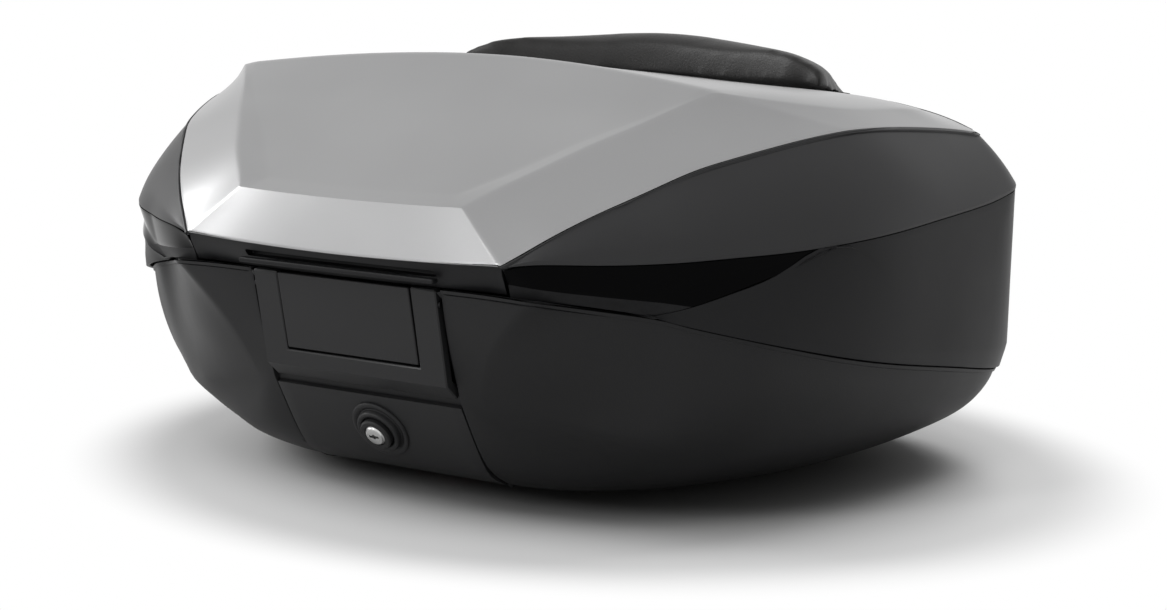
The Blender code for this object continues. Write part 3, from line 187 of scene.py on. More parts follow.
def smoothSkin(name, bm, levels=3):
    # a subdivided surface that still runs through the points of its cage, moved twice to do so
    piece = asObject(name, bm)
    wanted = [vert.co.copy() for vert in piece.data.vertices]
    mod = piece.modifiers.new("Subdivision", "SUBSURF")
    mod.levels = mod.render_levels = 2
    mod.boundary_smooth = "PRESERVE_CORNERS"
    for turn in range(2):
        shown = piece.evaluated_get(bpy.context.evaluated_depsgraph_get()).data
        found = [shown.vertices[i].co.copy() for i in range(len(wanted))]
        for vert, want, got in zip(piece.data.vertices, wanted, found):
            vert.co += want - got
        piece.data.update()
    mod.levels = mod.render_levels = levels
    bpy.context.view_layer.objects.active = piece
    bpy.ops.object.modifier_apply(modifier=mod.name)
    return piece


def halfSkin(name, rows, rowEdge=None, ribEdge=None, levels=3):
    # rows of the right half, lofted and mirrored
    bm = bmesh.new()
    loft(bm, rows, rowEdge, ribEdge)
    return smoothSkin(name, bothHalves(weld(bm)), levels)


def walled(piece, wall, offset=-1, rim=.0005, frontY=cadBox[0][1]):
    # gives a skin its thickness, inside the fixed box, and rounds the rims by the width rim
    applied(piece, "SOLIDIFY", thickness=wall, offset=offset, use_even_offset=False)
    side = cadBox[1][0]
    for vert in piece.data.vertices:
        vert.co.x = max(-side, min(side, vert.co.x))
        vert.co.y = max(frontY, vert.co.y)
    if rim:
        edgeRounded(piece, rim, 2, 60)
    return piece


def onAxis(axis):
    return Vector((0, 0, 1)).rotation_difference(Vector(axis)).to_matrix().to_4x4()


def placed(name, matrix):
    # takes the new primitive's place into its mesh
    piece = bpy.context.active_object
    piece.name = piece.data.name = name
    piece.data.transform(matrix)
    piece.select_set(False)
    return piece


def cutter(name, size, centre, turn=Matrix.Identity(4)):
    bpy.ops.mesh.primitive_cube_add(size=1, calc_uvs=False)
    return placed(name, Matrix.Translation(centre) @ turn @ Matrix.Diagonal((*size, 1)))


def roundCutter(name, radius, length, centre, axis, sides=64):
    bpy.ops.mesh.primitive_cylinder_add(vertices=sides, radius=radius, depth=length, calc_uvs=False)
    return placed(name, Matrix.Translation(centre) @ onAxis(axis))


def roundedCutter(name, size, centre, radius, segments=4):
    return applied(cutter(name, size, centre), "BEVEL", width=radius, segments=segments,
                   limit_method="ANGLE", angle_limit=radians(40))


def cut(piece, tool, operation="DIFFERENCE"):
    applied(piece, "BOOLEAN", object=tool, operation=operation, solver="EXACT")
    bpy.data.objects.remove(tool)
    return piece


def cadShape(node, flat=2):
    # a merged copy of a fixed node's mesh, with its flat faces whole again
    bm = bmesh.new()
    bm.from_mesh(frame["nodes"][node].data)
    bmesh.ops.remove_doubles(bm, verts=bm.verts, dist=mergeGap["cad"])
    bmesh.ops.dissolve_limit(bm, angle_limit=radians(flat), verts=bm.verts, edges=bm.edges)
    return bm


def edgeRounded(piece, width, segments=3, angle=35):
    return applied(piece, "BEVEL", width=width, segments=segments, limit_method="ANGLE",
                   angle_limit=radians(angle), use_clamp_overlap=True, harden_normals=False)


def spun(name, profile, place, axis, steps=72):
    # a turned piece: radius and height of its profile, turned round its own axis
    mesh = bpy.data.meshes.new(name)
    ring = list(range(len(profile)))
    mesh.from_pydata([(r, 0, h) for r, h in profile], list(zip(ring[:-1], ring[1:])), [])
    piece = bpy.data.objects.new(name, mesh)
    bpy.context.scene.collection.objects.link(piece)
    bpy.context.view_layer.objects.active = piece
    piece.select_set(True)
    bpy.ops.object.mode_set(mode="EDIT")
    bpy.ops.mesh.select_all(action="SELECT")
    bpy.ops.mesh.spin(steps=steps, angle=2 * pi, center=(0, 0, 0), axis=(0, 0, 1))
    bpy.ops.mesh.select_all(action="SELECT")
    bpy.ops.mesh.remove_doubles(threshold=mergeGap["cad"])
    bpy.ops.mesh.normals_make_consistent(inside=False)
    bpy.ops.object.mode_set(mode="OBJECT")
    piece.select_set(False)
    piece.data.transform(Matrix.Translation(place) @ onAxis(axis))
    return piece


def finished(piece, body, finish, slot, *nodes, angle=32, flat=False):
    # last step of each piece: shading, material, the body it rides on and the nodes it stands for
    shaded(piece, angle)
    if flat:
        applied(piece, "WEIGHTED_NORMAL", keep_sharp=True)
    piece.data.materials.clear()
    piece.data.materials.append(finish)
    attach(piece, body)
    if nodes:
        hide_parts(*nodes)
    return piece


class Value:
    # one output of a node, so that shader maths reads as plain sums
    def __init__(self, look, socket):
        self.look, self.socket = look, socket

    def math(self, operation, *others):
        values = dict(enumerate([self, *others]))
        return self.look.node("Math", {"operation": operation}, values)

    def __add__(self, other):
        return self.math("ADD", other)

    def __sub__(self, other):
        return self.math("SUBTRACT", other)

    def __mul__(self, other):
        return self.math("MULTIPLY", other)

    def __truediv__(self, other):
        return self.math("DIVIDE", other)

    def __pow__(self, other):
        return self.math("POWER", other)

    def __rsub__(self, other):
        return self.look.node("Math", {"operation": "SUBTRACT"}, {0: other, 1: self})

    __radd__ = __add__
    __rmul__ = __mul__

    def clamped(self):
        return self.look.node("Clamp", {}, {"Value": self})


class Look:
    # one material, or the world: its shader, its node method and the place on the piece
    def __init__(self, name, world=False, **inputs):
        self.material = (bpy.data.worlds if world else bpy.data.materials).new(name)
        self.material.use_nodes = True
        self.tree = self.material.node_tree
        self.shader = self.tree.nodes["Background" if world else "Principled BSDF"]
        for key, value in inputs.items():
            self.shader.inputs[key.replace("_", " ")].default_value = value
        self.place = self.node("TexCoord", {}, {}, "Object")

    def node(self, kind, settings, values, output=0):
        made = self.tree.nodes.new("ShaderNode" + kind)
        for key, value in settings.items():
            setattr(made, key, value)
        for key, value in values.items():
            self.fill(made.inputs[key], value)
        return Value(self, made.outputs[output])

    def fill(self, socket, value):
        # a link from another node's output, or a fixed value
        if isinstance(value, Value):
            self.tree.links.new(value.socket, socket)
        else:
            socket.default_value = value

    def stretched(self, scale):
        if not scale:
            return self.place
        return self.node("Mapping", {}, {"Vector": self.place, "Scale": scale})

    def noise(self, scale, detail=3, rough=.5, stretch=None):
        place = self.stretched(stretch)
        values = {"Vector": place, "Scale": scale, "Detail": detail, "Roughness": rough}
        return self.node("TexNoise", {}, values)

    def cells(self, scale, feature="F1", stretch=None):
        values = {"Vector": self.stretched(stretch), "Scale": scale}
        return self.node("TexVoronoi", {"feature": feature}, values)

    def part(self, axis):
        return self.node("SeparateXYZ", {}, {"Vector": self.place}, axis)

    def blend(self, factor, low, high):
        mixer = self.node("Mix", {"data_type": "RGBA"}, {}).socket.node
        for key, value in (("Factor", factor), ("A", (*low, 1)), ("B", (*high, 1))):
            self.fill(next(s for s in mixer.inputs if s.name == key and s.enabled), value)
        return Value(self, next(s for s in mixer.outputs if s.enabled))

    def feed(self, socket, value):
        self.tree.links.new(value.socket, self.shader.inputs[socket])

    def bumps(self, *layers):
        # each layer is a height, its depth in metres and its strength
        normal = None
        for height, depth, strength in layers:
            values = {"Height": height, "Distance": depth, "Strength": strength}
            if normal:
                values["Normal"] = normal
            normal = self.node("Bump", {}, values)
        self.feed("Normal", normal)


# brushed and lacquered metal of the lid's cover
coverFinish = {
    "metallic": .82, "lacquer": .1, "lacquerRough": .25, "rough": .27,
    "dark": (.275, .275, .278), "pale": (.345, .345, .348),
    "cloudScale": 9, "grainScale": 1500, "flakeScale": 2600, "waveScale": 38,
    "waveDepth": .0004, "grainDepth": .00001,
}


def metalCoverLook():
    f = coverFinish
    look = Look("metalCover", Metallic=f["metallic"], Coat_Weight=f["lacquer"],
                Coat_Roughness=f["lacquerRough"])
    cloud, grain = look.noise(f["cloudScale"], 2), look.noise(f["grainScale"], 2, .6)
    tone = cloud * .6 + grain * .34 + look.cells(f["flakeScale"]) * .06
    look.feed("Base Color", look.blend(tone.clamped(), f["dark"], f["pale"]))
    look.feed("Roughness", cloud * .06 + grain * .03 + f["rough"])
    look.bumps((look.noise(f["waveScale"], 2), f["waveDepth"], .03), (grain, f["grainDepth"], .04))
    return look.material


# moulded plastic: fine spark-eroded grain, a slight flow pattern and paler rubbed patches
mouldings = {
    # dark and pale tone, roughness, grain's scale and depth, gloss
    "blackPlastic": ((.007, .007, .0075), (.013, .013, .0138), .36, 1500, .00006, .14),
    # the lid's side wall: a paler copy of the black plastic, a painted sheen standing in for its
    # broad highlight
    "lidPaintedSheenPlastic": ((.017, .017, .0178), (.027, .027, .028), .34, 1500, .00006, .25),
    "tubPlastic": ((.007, .007, .0075), (.0135, .0135, .0142), .38, 1300, .00008, .2),
    "darkSatin": ((.0095, .0095, .01), (.0175, .0175, .0184), .38, 1700, .00005, .25),
    "linerPlastic": ((.03, .03, .0315), (.052, .052, .054), .6, 900, .00012, .25),
    "clipRed": ((.24, .01, .008), (.36, .016, .012), .38, 1500, .00004, .25),
}


def mouldedLook(name, dark, pale, rough, grain, depth, gloss):
    look = Look(name, Specular_IOR_Level=gloss)
    flow = look.noise(6, 3, .55, (1, 1, 2.5))
    fine = look.noise(grain, 2, .6)
    pits = look.cells(grain * .8, "SMOOTH_F1")
    rubbed = look.noise(28, 4, .65)
    tone = flow * .45 + rubbed * .3 + fine * .25
    look.feed("Base Color", look.blend(tone.clamped(), dark, pale))
    look.feed("Roughness", rubbed * .1 + fine * .06 + rough)
    look.bumps((flow, .0006, .04), (pits, depth, .5), (fine, depth * .6, .3))
    return look.material


# gloss black, matt and paler below the insert's fold, which falls evenly from the front corner
glossFinish = {
    "foldX": .1275, "foldZ": .1576, "fall": .122, "blur": .0003, "gloss": .03,
    "black": (.0009, .0009, .0011), "matt": (.023, .023, .0238), "rough": .06, "mattRough": .35,
    "swirlScale": 180, "dustScale": 900, "waveScale": 14, "waveDepth": .0006,
}


def glossLook():
    f = glossFinish
    look = Look("glossBlack", Specular_IOR_Level=f["gloss"])
    fold = f["foldZ"] - (look.part(0).math("ABSOLUTE") - f["foldX"]) * f["fall"]
    matt = ((fold - look.part(2)) / f["blur"]).clamped()
    swirl = look.noise(f["swirlScale"], 4, .7)
    speck = (1 - look.cells(f["dustScale"]) * 3.2).clamped() ** 6
    tone = (speck * .08 * (1 - matt) + matt * (.6 + swirl * .4)).clamped()
    look.feed("Base Color", look.blend(tone, f["black"], f["matt"]))
    look.feed("Roughness", swirl * .05 + speck * .15 + matt * f["mattRough"] + f["rough"])
    look.bumps((look.noise(f["waveScale"], 2), f["waveDepth"], .03), (swirl, .00002, .1))
    return look.material


# grained vinyl over foam: pebbles, creases between them painted darker as shade, a soft sheen
vinylFinish = {
    "sheen": .1, "sheenRough": .3, "gloss": .22, "rough": .38,
    "dark": (.006, .0057, .0056), "pale": (.015, .0144, .014),
    "pebbleScale": 620, "pebbleDepth": .0003, "creaseScale": 480, "creaseDepth": .0002,
    "wornScale": 16, "waveScale": 22, "waveDepth": .0008,
}


def padLook():
    f = vinylFinish
    look = Look("padVinyl", Sheen_Weight=f["sheen"], Sheen_Roughness=f["sheenRough"],
                Specular_IOR_Level=f["gloss"])
    pebble = look.cells(f["pebbleScale"], "SMOOTH_F1", (1, 1, .85))
    deep = (look.cells(f["creaseScale"], "DISTANCE_TO_EDGE") * 9).clamped()
    worn = look.noise(f["wornScale"], 4, .6)
    # painted shade: the colour darkens in the creases between pebbles
    look.feed("Base Color", look.blend((worn * .5 + deep * .5).clamped(), f["dark"], f["pale"]))
    look.feed("Roughness", worn * .12 + f["rough"])
    look.bumps((look.noise(f["waveScale"], 2), f["waveDepth"], .08),
               (pebble, f["pebbleDepth"], .25), (deep, f["creaseDepth"], .25))
    return look.material


# rubber with a fine grain and a pale bloom
def rubberLook(name, dark, pale):
    look = Look(name, Specular_IOR_Level=.3)
    fine = look.noise(900, 2, .6)
    bloom = look.noise(24, 4, .65)
    look.feed("Base Color", look.blend((bloom * .7 + fine * .3).clamped(), dark, pale))
    look.feed("Roughness", bloom * .15 + .7)
    look.bumps((fine, .0001, .5), (look.noise(120, 2), .0002, .2))
    return look.material


# ribbed mat: round ribs that run from side to side, with a fine grain; painted highlight and shade
# make the rib tops paler and the hollows darker
matFinish = {
    "ribPitch": .0062, "ribDepth": .0012, "rough": .76, "gloss": .3,
    "dark": (.01, .01, .0105), "pale": (.03, .03, .031),
}


def matLook():
    f = matFinish
    look = Look("ribbedMat", Specular_IOR_Level=f["gloss"])
    ribs = (look.part(1) * (2 * pi / f["ribPitch"])).math("SINE") * .5 + .5
    fine = look.noise(1100, 2, .6)
    dust = look.noise(18, 4, .6)
    # painted highlight and shade: rib tops paler, hollows darker in colour
    look.feed("Base Color", look.blend((dust * .4 + ribs * .6).clamped(), f["dark"], f["pale"]))
    look.feed("Roughness", dust * .12 + f["rough"])
    look.bumps((ribs, f["ribDepth"], .7), (fine, .0001, .4))
    return look.material


# drawn or plated metal: lines along one axis, faint spots
platings = {
    # dark and pale tone, roughness, stretch of the lines
    "zincSteel": ((.3, .3, .31), (.46, .46, .47), .24, (.15, 1, 1)),
    "blackSteel": ((.018, .018, .019), (.034, .034, .035), .42, (.15, 1, 1)),
    "lockNickel": ((.5, .5, .5), (.66, .66, .65), .2, (1, 1, .2)),
}


def platedLook(name, dark, pale, rough, stretch):
    look = Look(name, Metallic=1)
    lines = look.noise(260, 3, .6, stretch)
    spots = look.noise(70, 4, .7)
    look.feed("Base Color", look.blend((lines * .6 + spots * .4).clamped(), dark, pale))
    look.feed("Roughness", lines * .14 + spots * .08 + rough)
    look.bumps((lines, .00005, .3), (spots, .0002, .06))
    return look.material


print("materials")
metalCover = metalCoverLook()
moulded = {name: mouldedLook(name, *values) for name, values in mouldings.items()}
glossBlack = glossLook()
padVinyl = padLook()
sealRubber = rubberLook("sealRubber", (.008, .008, .0085), (.02, .02, .021))
footRubber = rubberLook("footRubber", (.007, .007, .0075), (.019, .0185, .018))
ribbedMat = matLook()
steel, blackSteel, lockMetal = (platedLook(name, *values) for name, values in platings.items())


# the lid's side wall and cover share one set of lines: right half, lock side to hinge side
print("lid")
lidShape = {
    "rim": [
        (0, -.2295, .1645), (.042, -.2287, .1648), (.084, -.2269, .1656), (.112, -.2249, .1664),
        (.125, -.2238, .167), (.146, -.217, .1707), (.173, -.2025, .171), (.196, -.1875, .1715),
        (.222, -.172, .1733), (.243, -.1475, .175), (.262, -.116, .176), (.2815, -.0775, .179),
        (.291, -.038, .1815), (.295, 0, .184), (.298, .045, .1866), (.299, .08, .1892),
        (.296, .112, .1935), (.264, .152, .196), (.222, .186, .1965), (.19, .2, .197),
        (.126, .2065, .197), (.063, .2085, .197), (0, .209, .197),
    ],
    "edge": [
        (0, -.2315, .1665), (.042, -.231, .1669), (.084, -.2292, .1677), (.112, -.2268, .1686),
        (.126, -.2255, .1692), (.139, -.2145, .1785), (.152, -.2035, .188), (.17, -.1855, .2),
        (.188, -.1645, .211), (.205, -.1425, .222), (.22, -.1205, .229), (.242, -.0765, .238),
        (.255, -.042, .2418), (.262, -.0095, .2415), (.268, .04, .2375), (.2705, .075, .2335),
        (.272, .1005, .23), (.24, .115, .237), (.212, .121, .2415), (.185, .126, .2445),
        (.126, .132, .248), (.063, .1355, .2502), (0, .1365, .2525),
    ],
    "facetTop": [
        (0, -.2185, .199), (.03, -.218, .1991), (.06, -.2168, .1994), (.081, -.2153, .1998),
        (.09, -.2145, .2),
    ],
    "inner": [
        [
            (0, -.2055, .2048), (.026, -.205, .2049), (.052, -.2037, .2053), (.077, -.2015, .2062),
            (.1, -.204, .207),
        ],
        [
            (0, -.19, .213), (.03, -.1895, .213), (.061, -.189, .213), (.0895, -.1895, .2128),
            (.11, -.1935, .214),
        ],
        [
            (0, -.172, .2228), (.035, -.172, .2228), (.07, -.173, .2218), (.103, -.177, .22),
            (.122, -.181, .2215),
        ],
        [
            (0, -.152, .234), (.04, -.1525, .2335), (.081, -.1545, .2325), (.119, -.161, .23),
            (.136, -.164, .231),
        ],
        [
            (0, -.13, .2462), (.046, -.131, .2455), (.092, -.135, .2435), (.1365, -.144, .24),
            (.152, -.145, .241),
        ],
        [
            (0, -.108, .259), (.052, -.11, .258), (.103, -.116, .2543), (.154, -.127, .2487),
            (.166, -.127, .2492),
        ],
        [
            (0, -.089, .2713), (.058, -.092, .2699), (.116, -.1, .2657), (.172, -.109, .259),
            (.18, -.11, .2582),
        ],
        [
            (0, -.0745, .28), (.062, -.078, .2785), (.124, -.086, .2743), (.182, -.093, .268),
            (.195, -.0925, .2652),
        ],
        [
            (0, -.03, .2742), (.066, -.032, .2712), (.134, -.038, .2682), (.2, -.043, .264),
            (.238, -.03, .254),
        ],
        [
            (0, .02, .2673), (.068, .02, .2643), (.137, .019, .2612), (.204, .019, .258),
            (.246, .028, .25),
        ],
        [
            (0, .078, .26), (.067, .077, .257), (.134, .074, .2548), (.2, .071, .2525),
            (.2475, .067, .246),
        ],
    ],
    # stations along the edge
    "corner": 4, "shoulder": 13, "tail": 16,
    # sharpness: before a row or station, from it on; then along single lines
    "recessFold": (8, .75, .1), "stripFold": (7, .62, .8), "facetFold": (4, .55, .1),
    "ridge": .85, "facetSide": .9, "hemLine": .8, "frontCorner": .8, "rearCorner": .35,
    "hem": .0024, "groove": .0008, "bulge": .0055, "bulgeRows": (.35, .7), "fullHeight": .05,
    "rearBulge": .5, "sideways": .6, "coverWall": .0014, "coverRim": .00045, "shellWall": .0026,
    "shellRim": .0005, "seat": .0006, "frontStep": .0001, "frontBack": .0022,
    "frontReach": .012, "frontLift": .0006,
}
rim, edge, facetTop = (points(lidShape[name]) for name in ("rim", "edge", "facetTop"))
coverRows = [points(row) for row in lidShape["inner"]]


def coverPatches(bm):
    s = lidShape
    corner, tail = s["corner"], s["tail"]
    middle = rowMix(edge[:corner + 1], facetTop, .5)
    loft(bm, [edge[:corner + 1], middle, facetTop], {2: 1}, {4: s["facetSide"]})
    rows = [facetTop + [middle[-1], edge[corner]]]
    for row, end in zip(coverRows, edge[corner + 1:tail]):
        rows.append(row + [mix(row[-1], end, .5), end])
    rows.append(edge[:tail - 1:-1])
    loft(bm, rows, {0: 1, 1: upTo(*s["facetFold"]), 8: s["ridge"]},
         {3: upTo(*s["recessFold"]), 4: upTo(*s["stripFold"])})


def sideRows():
    # the side wall from the rim up to the groove under the cover, swollen between them
    s = lidShape
    hem = [p + v(0, 0, min(s["hem"], (q - p).length / 3)) for p, q in zip(rim, edge)]
    top = [q + (p - q).normalized() * s["groove"] for p, q in zip(rim, edge)]
    rows = [rim, hem]
    for t in s["bulgeRows"]:
        row = []
        for i, (low, high) in enumerate(zip(hem, top)):
            out = Vector((high.x + low.x, (high.y + low.y) * s["sideways"], 0)).normalized()
            swell = s["bulge"] * sin(pi * t) * min(1, (high - low).length / s["fullHeight"])
            full = s["corner"] < i <= s["shoulder"]
            row.append(mix(low, high, t) + out * (swell if full else swell * s["rearBulge"]))
        rows.append(row)
    return rows + [top]


def makeCover():
    bm = bmesh.new()
    coverPatches(bm)
    cover = smoothSkin("lidCoverSkin", bothHalves(weld(bm)))
    walled(cover, lidShape["coverWall"], rim=lidShape["coverRim"])
    finished(cover, "lid", metalCover, "metal_cover", "lid_cover", angle=28)


def hideFront(shell):
    # what is left of the shell along the cover's lower front edge stays behind the cover
    corner = edge[lidShape["corner"]]
    for vert in shell.data.vertices:
        x = abs(vert.co.x)
        if x < corner.x and vert.co.y < corner.y + lidShape["frontReach"]:
            near = next(k for k in range(1, lidShape["corner"] + 1) if edge[k].x >= x)
            a, b = edge[near - 1], edge[near]
            least = mix(a.z, b.z, (x - a.x) / (b.x - a.x)) + lidShape["frontLift"]
            vert.co.z = max(vert.co.z, least)


def makeLidShell():
    # the side wall, the groove, and a skin under the cover
    s = lidShape
    bm = bmesh.new()
    coverPatches(bm)
    weld(bm)
    nearest = [min(bm.verts, key=lambda vert: (vert.co - p).length) for p in edge]
    push(bm, -(s["coverWall"] + s["seat"]))
    inner = [vert.co.copy() for vert in nearest]
    rows = sideRows()
    rows.append([top + (low - high) for top, low, high in zip(rows[-1], inner, edge)])
    for i in range(s["corner"] + 1):
        down = (edge[i] - facetTop[i]).normalized()
        for step, row in enumerate(rows[::-1]):
            row[i] = inner[i] + down * s["frontStep"] * (step + 1)
    rows.append(inner)
    loft(bm, rows, {1: s["hemLine"], 4: 1, 5: 1, 6: 1},
         {s["corner"]: s["frontCorner"], s["tail"]: s["rearCorner"]})
    shell = smoothSkin("lidShellSkin", bothHalves(weld(bm)))
    walled(shell, s["shellWall"], rim=s["shellRim"], frontY=edge[0].y + s["frontBack"])
    hideFront(shell)
    # the side wall takes the paler copy of the black plastic: painted sheen
    finished(shell, "lid", moulded["lidPaintedSheenPlastic"], "black_plastic", "lid_shell")


makeCover()
makeLidShell()


# front band under the cover, with the long finger slot
print("front band")
bandShape = {
    "lowZ": .1507, "tuck": .01, "backY": -.2143, "endTuck": .0074, "endWall": .0018, "slope": .0031,
    "turnX": .1, "lowShare": .992, "backShare": .985, "middle": .35, "bulge": .0012,
    "slotHalf": .0765, "slotZ": .1599, "slotHeight": .0044, "slotDepth": .011, "slotIn": .001,
    "slotEdge": .0014, "underCover": (.0016, .0003), "lip": (.157, .006, .0032),
    "lipIn": .0004, "lipZ": .1558, "lipEdge": .0012, "rounding": .0006,
}


def makeBand():
    s = bandShape
    corner = lidShape["corner"]
    outerTop = [p + v(0, *s["underCover"]) for p in edge[:corner + 1]]
    outerLow, innerLow, innerTop = [], [], []
    for i, p in enumerate(outerTop):
        last = i == corner
        lowY = p.y + (s["endTuck"] if last else s["tuck"])
        backX, topZ = p.x * s["backShare"], rim[i].z - s["slope"]
        outerLow.append(v(p.x * s["lowShare"], lowY, s["lowZ"]))
        innerLow.append(v(backX, lowY + s["endWall"] if last else s["backY"], s["lowZ"]))
        innerTop.append(v(backX, p.y + s["endWall"] if last else s["backY"], topZ))
        if i == corner - 1:
            innerLow[-1].x = innerTop[-1].x = s["turnX"]
    middle = [p - v(0, s["bulge"], 0) for p in rowMix(outerTop, outerLow, s["middle"])]
    innerMiddle = rowMix(innerTop, innerLow, s["middle"])
    innerMiddle[-1].y = middle[-1].y + s["endWall"]
    rows = [outerLow, middle, outerTop, innerTop, innerMiddle, innerLow]
    bm = bmesh.new()
    loft(bm, rows + [outerLow])
    bm.faces.new([bm.verts.new(row[-1]) for row in rows])
    band = asObject("frontBandBar", facingOut(bothHalves(weld(bm))))
    slotSize = (2 * s["slotHalf"], 2 * s["slotDepth"], s["slotHeight"])
    slotAt = v(0, rim[0].y + s["slotIn"], s["slotZ"])
    cut(band, roundedCutter("bandSlot", slotSize, slotAt, s["slotEdge"], 3))
    lipAt = v(0, rim[0].y + s["lip"][1] / 2 + s["lipIn"], s["lipZ"])
    cut(band, roundedCutter("slotLip", s["lip"], lipAt, s["lipEdge"], 3), "UNION")
    edgeRounded(band, s["rounding"], 3, 24)
    finished(band, "lid", moulded["blackPlastic"], "black_plastic", "front_band", flat=True)


makeBand()


# frame: wings, the gloss strip in each side and the sleeve that lifts out of the tub
print("frame")
frameShape = {
    "insertLow": [
        (.127, -.2135, .15), (.148, -.2065, .148), (.175, -.1885, .144), (.1985, -.1705, .139),
        (.219, -.162, .1455), (.2405, -.145, .155), (.26, -.1175, .165), (.28, -.08, .1765),
    ],
    "insertFold": [
        (.1275, -.2185, .158), (.149, -.2115, .156), (.177, -.1945, .1525), (.201, -.177, .149),
        (.221, -.1665, .157), (.242, -.1468, .164), (.2612, -.117, .17), (.2808, -.079, .1776),
    ],
    "wingLow": [
        (.1995, -.169, .1372), (.216, -.1635, .1335), (.2375, -.1495, .128), (.256, -.1295, .1215),
        (.274, -.0805, .1085), (.283, -.035, .0985), (.287, .005, .091), (.29, .045, .084),
        (.2895, .085, .0765), (.282, .124, .071), (.254, .164, .068), (.215, .193, .066),
        (.186, .205, .065), (.125, .211, .064), (.0625, .213, .064), (0, .2135, .064),
    ],
    "sleeve": [
        (0, -.165), (.03, -.165), (.06, -.165), (.09, -.165), (.112, -.1645), (.134, -.163),
        (.155, -.158), (.176, -.147), (.194, -.131), (.208, -.112), (.22, -.088), (.231, -.056),
        (.238, -.025), (.242, .006), (.244, .045), (.243, .08), (.236, .115), (.218, .142),
        (.195, .161), (.17, .172), (.115, .178), (.058, .18), (0, .1805),
    ],
    "bevelRise": [.0015, .002, .003, .004, .006, .008, .01, .012, .014] + [.016] * 7,
    "insertFront": [
        (.127, -.216, .1488), (.148, -.209, .1478), (.175, -.19, .1437), (.1985, -.1712, .1388),
    ],
    "leadOut": [.002, .002, .002, .002, .0045, .0034, .001, 0],
    # stations along the rim, then along the strip
    "wingTip": 7, "insertFirst": 4, "insertLast": 11, "tipStation": 3,
    # shares of the way from one line to the next
    "lowSteps": (0, .03, .06, .09), "wingSteps": (.6, .4, .2), "tipStep": .5, "leadStep": .15,
    "endStep": .02, "insertTip": .75, "frontShare": .978, "bevelShare": .3,
    # how sharp the lines stay
    "hemFold": .85, "frontHem": .3, "foldLine": .9, "shelfLine": .6, "cornerRib": .8,
    "bevelOut": .0045, "insertWall": .0013, "insertRoom": .0006, "insertSink": .0022,
    "insertIn": .0018, "seam": .0007, "cornerDrop": .0006, "frontY": -.2135, "shelfFrontZ": .16,
    "shelfFall": .001, "sleeveLow": .058, "sealInset": .0115, "sealWidth": .003,
    "sealHeight": .003, "wall": .0024, "rounding": .0004, "insertRounding": .0003, "gap": .0003,
    "slotHalf": .02, "slotY": (-.1975, -.1745), "slotDepth": .012,
}
insertLow, insertFold, wingLow = (
    points(frameShape[name]) for name in ("insertLow", "insertFold", "wingLow"))
sleeve = frameShape["sleeve"]


def frameRim():
    s = frameShape
    top = [p - v(0, 0, s["seam"]) for p in rim]
    top[s["insertFirst"]].z -= s["cornerDrop"]
    return top


def leadEdge(k):
    # the wing's front edge stands a little proud of the strip above it
    return insertLow[k] + outwardOf(insertLow[k]) * frameShape["leadOut"][k]


def insertRows():
    s = frameShape
    top = frameRim()[s["insertFirst"]:s["insertLast"] + 1]
    top[0] = top[0] + v(s["insertIn"], 0, 0)
    low = points(s["insertFront"])
    for k in range(len(low), len(insertLow)):
        low.append(leadEdge(k) + (insertFold[k] - insertLow[k]).normalized() * s["insertRoom"])
    return [low, insertFold, top]


def frameWall():
    # six lines from the lower edge to the rim: a recess for the strip, then the wing
    s = frameShape
    top = frameRim()
    first, last, tip = s["insertFirst"], s["insertLast"], s["wingTip"]
    backing = pushedRows([insertLow, insertFold, top[first:last + 1]], -s["insertSink"])
    for p, q in zip(backing[-1], top[first:]):
        p.z = q.z
    columns = []
    for i, p in enumerate(top):
        if i < tip:
            low, fold, high = (row[max(0, i - first)].copy() for row in backing)
            if i < first:
                for q in (low, fold, high):
                    q.x = p.x * s["frontShare"]
                    q.y = s["frontY"]
            columns.append([mix(low, fold, t) for t in s["lowSteps"]] + [fold, high])
            continue
        j, k = i - tip, i - first
        foot, rise = wingLow[j], s["bevelRise"][j]
        out = min(s["bevelOut"], rise * s["bevelShare"])
        hem = foot + outwardOf(foot) * out + v(0, 0, rise)
        if i < last:
            lead = leadEdge(k)
            second = mix(hem, lead, s["leadStep"]) if i > tip else mix(foot, lead, s["tipStep"])
            columns.append([foot, second, lead] + [row[k] for row in backing])
        elif i == last:
            end = insertLow[-1]
            columns.append([foot, hem, mix(end, hem, s["endStep"]), end, insertFold[-1], p])
        else:
            columns.append([foot, hem] + [mix(p, hem, t) for t in s["wingSteps"]] + [p])
    return [list(row) for row in zip(*columns)]


def shelfRow(wall):
    s = frameShape
    row = []
    for i, ((x, y), p) in enumerate(zip(sleeve, wall[-1])):
        z = p.z - s["shelfFall"]
        row.append(v(x, y, min(s["shelfFrontZ"], z) if i <= s["insertFirst"] else z))
    return row


def sealSeat(wall, shelf):
    rows = []
    for inset in (frameShape["sealInset"], frameShape["sealInset"] + frameShape["sealWidth"]):
        rows.append([a + (b - a).normalized() * inset for a, b in zip(wall[-1], shelf)])
    return rows


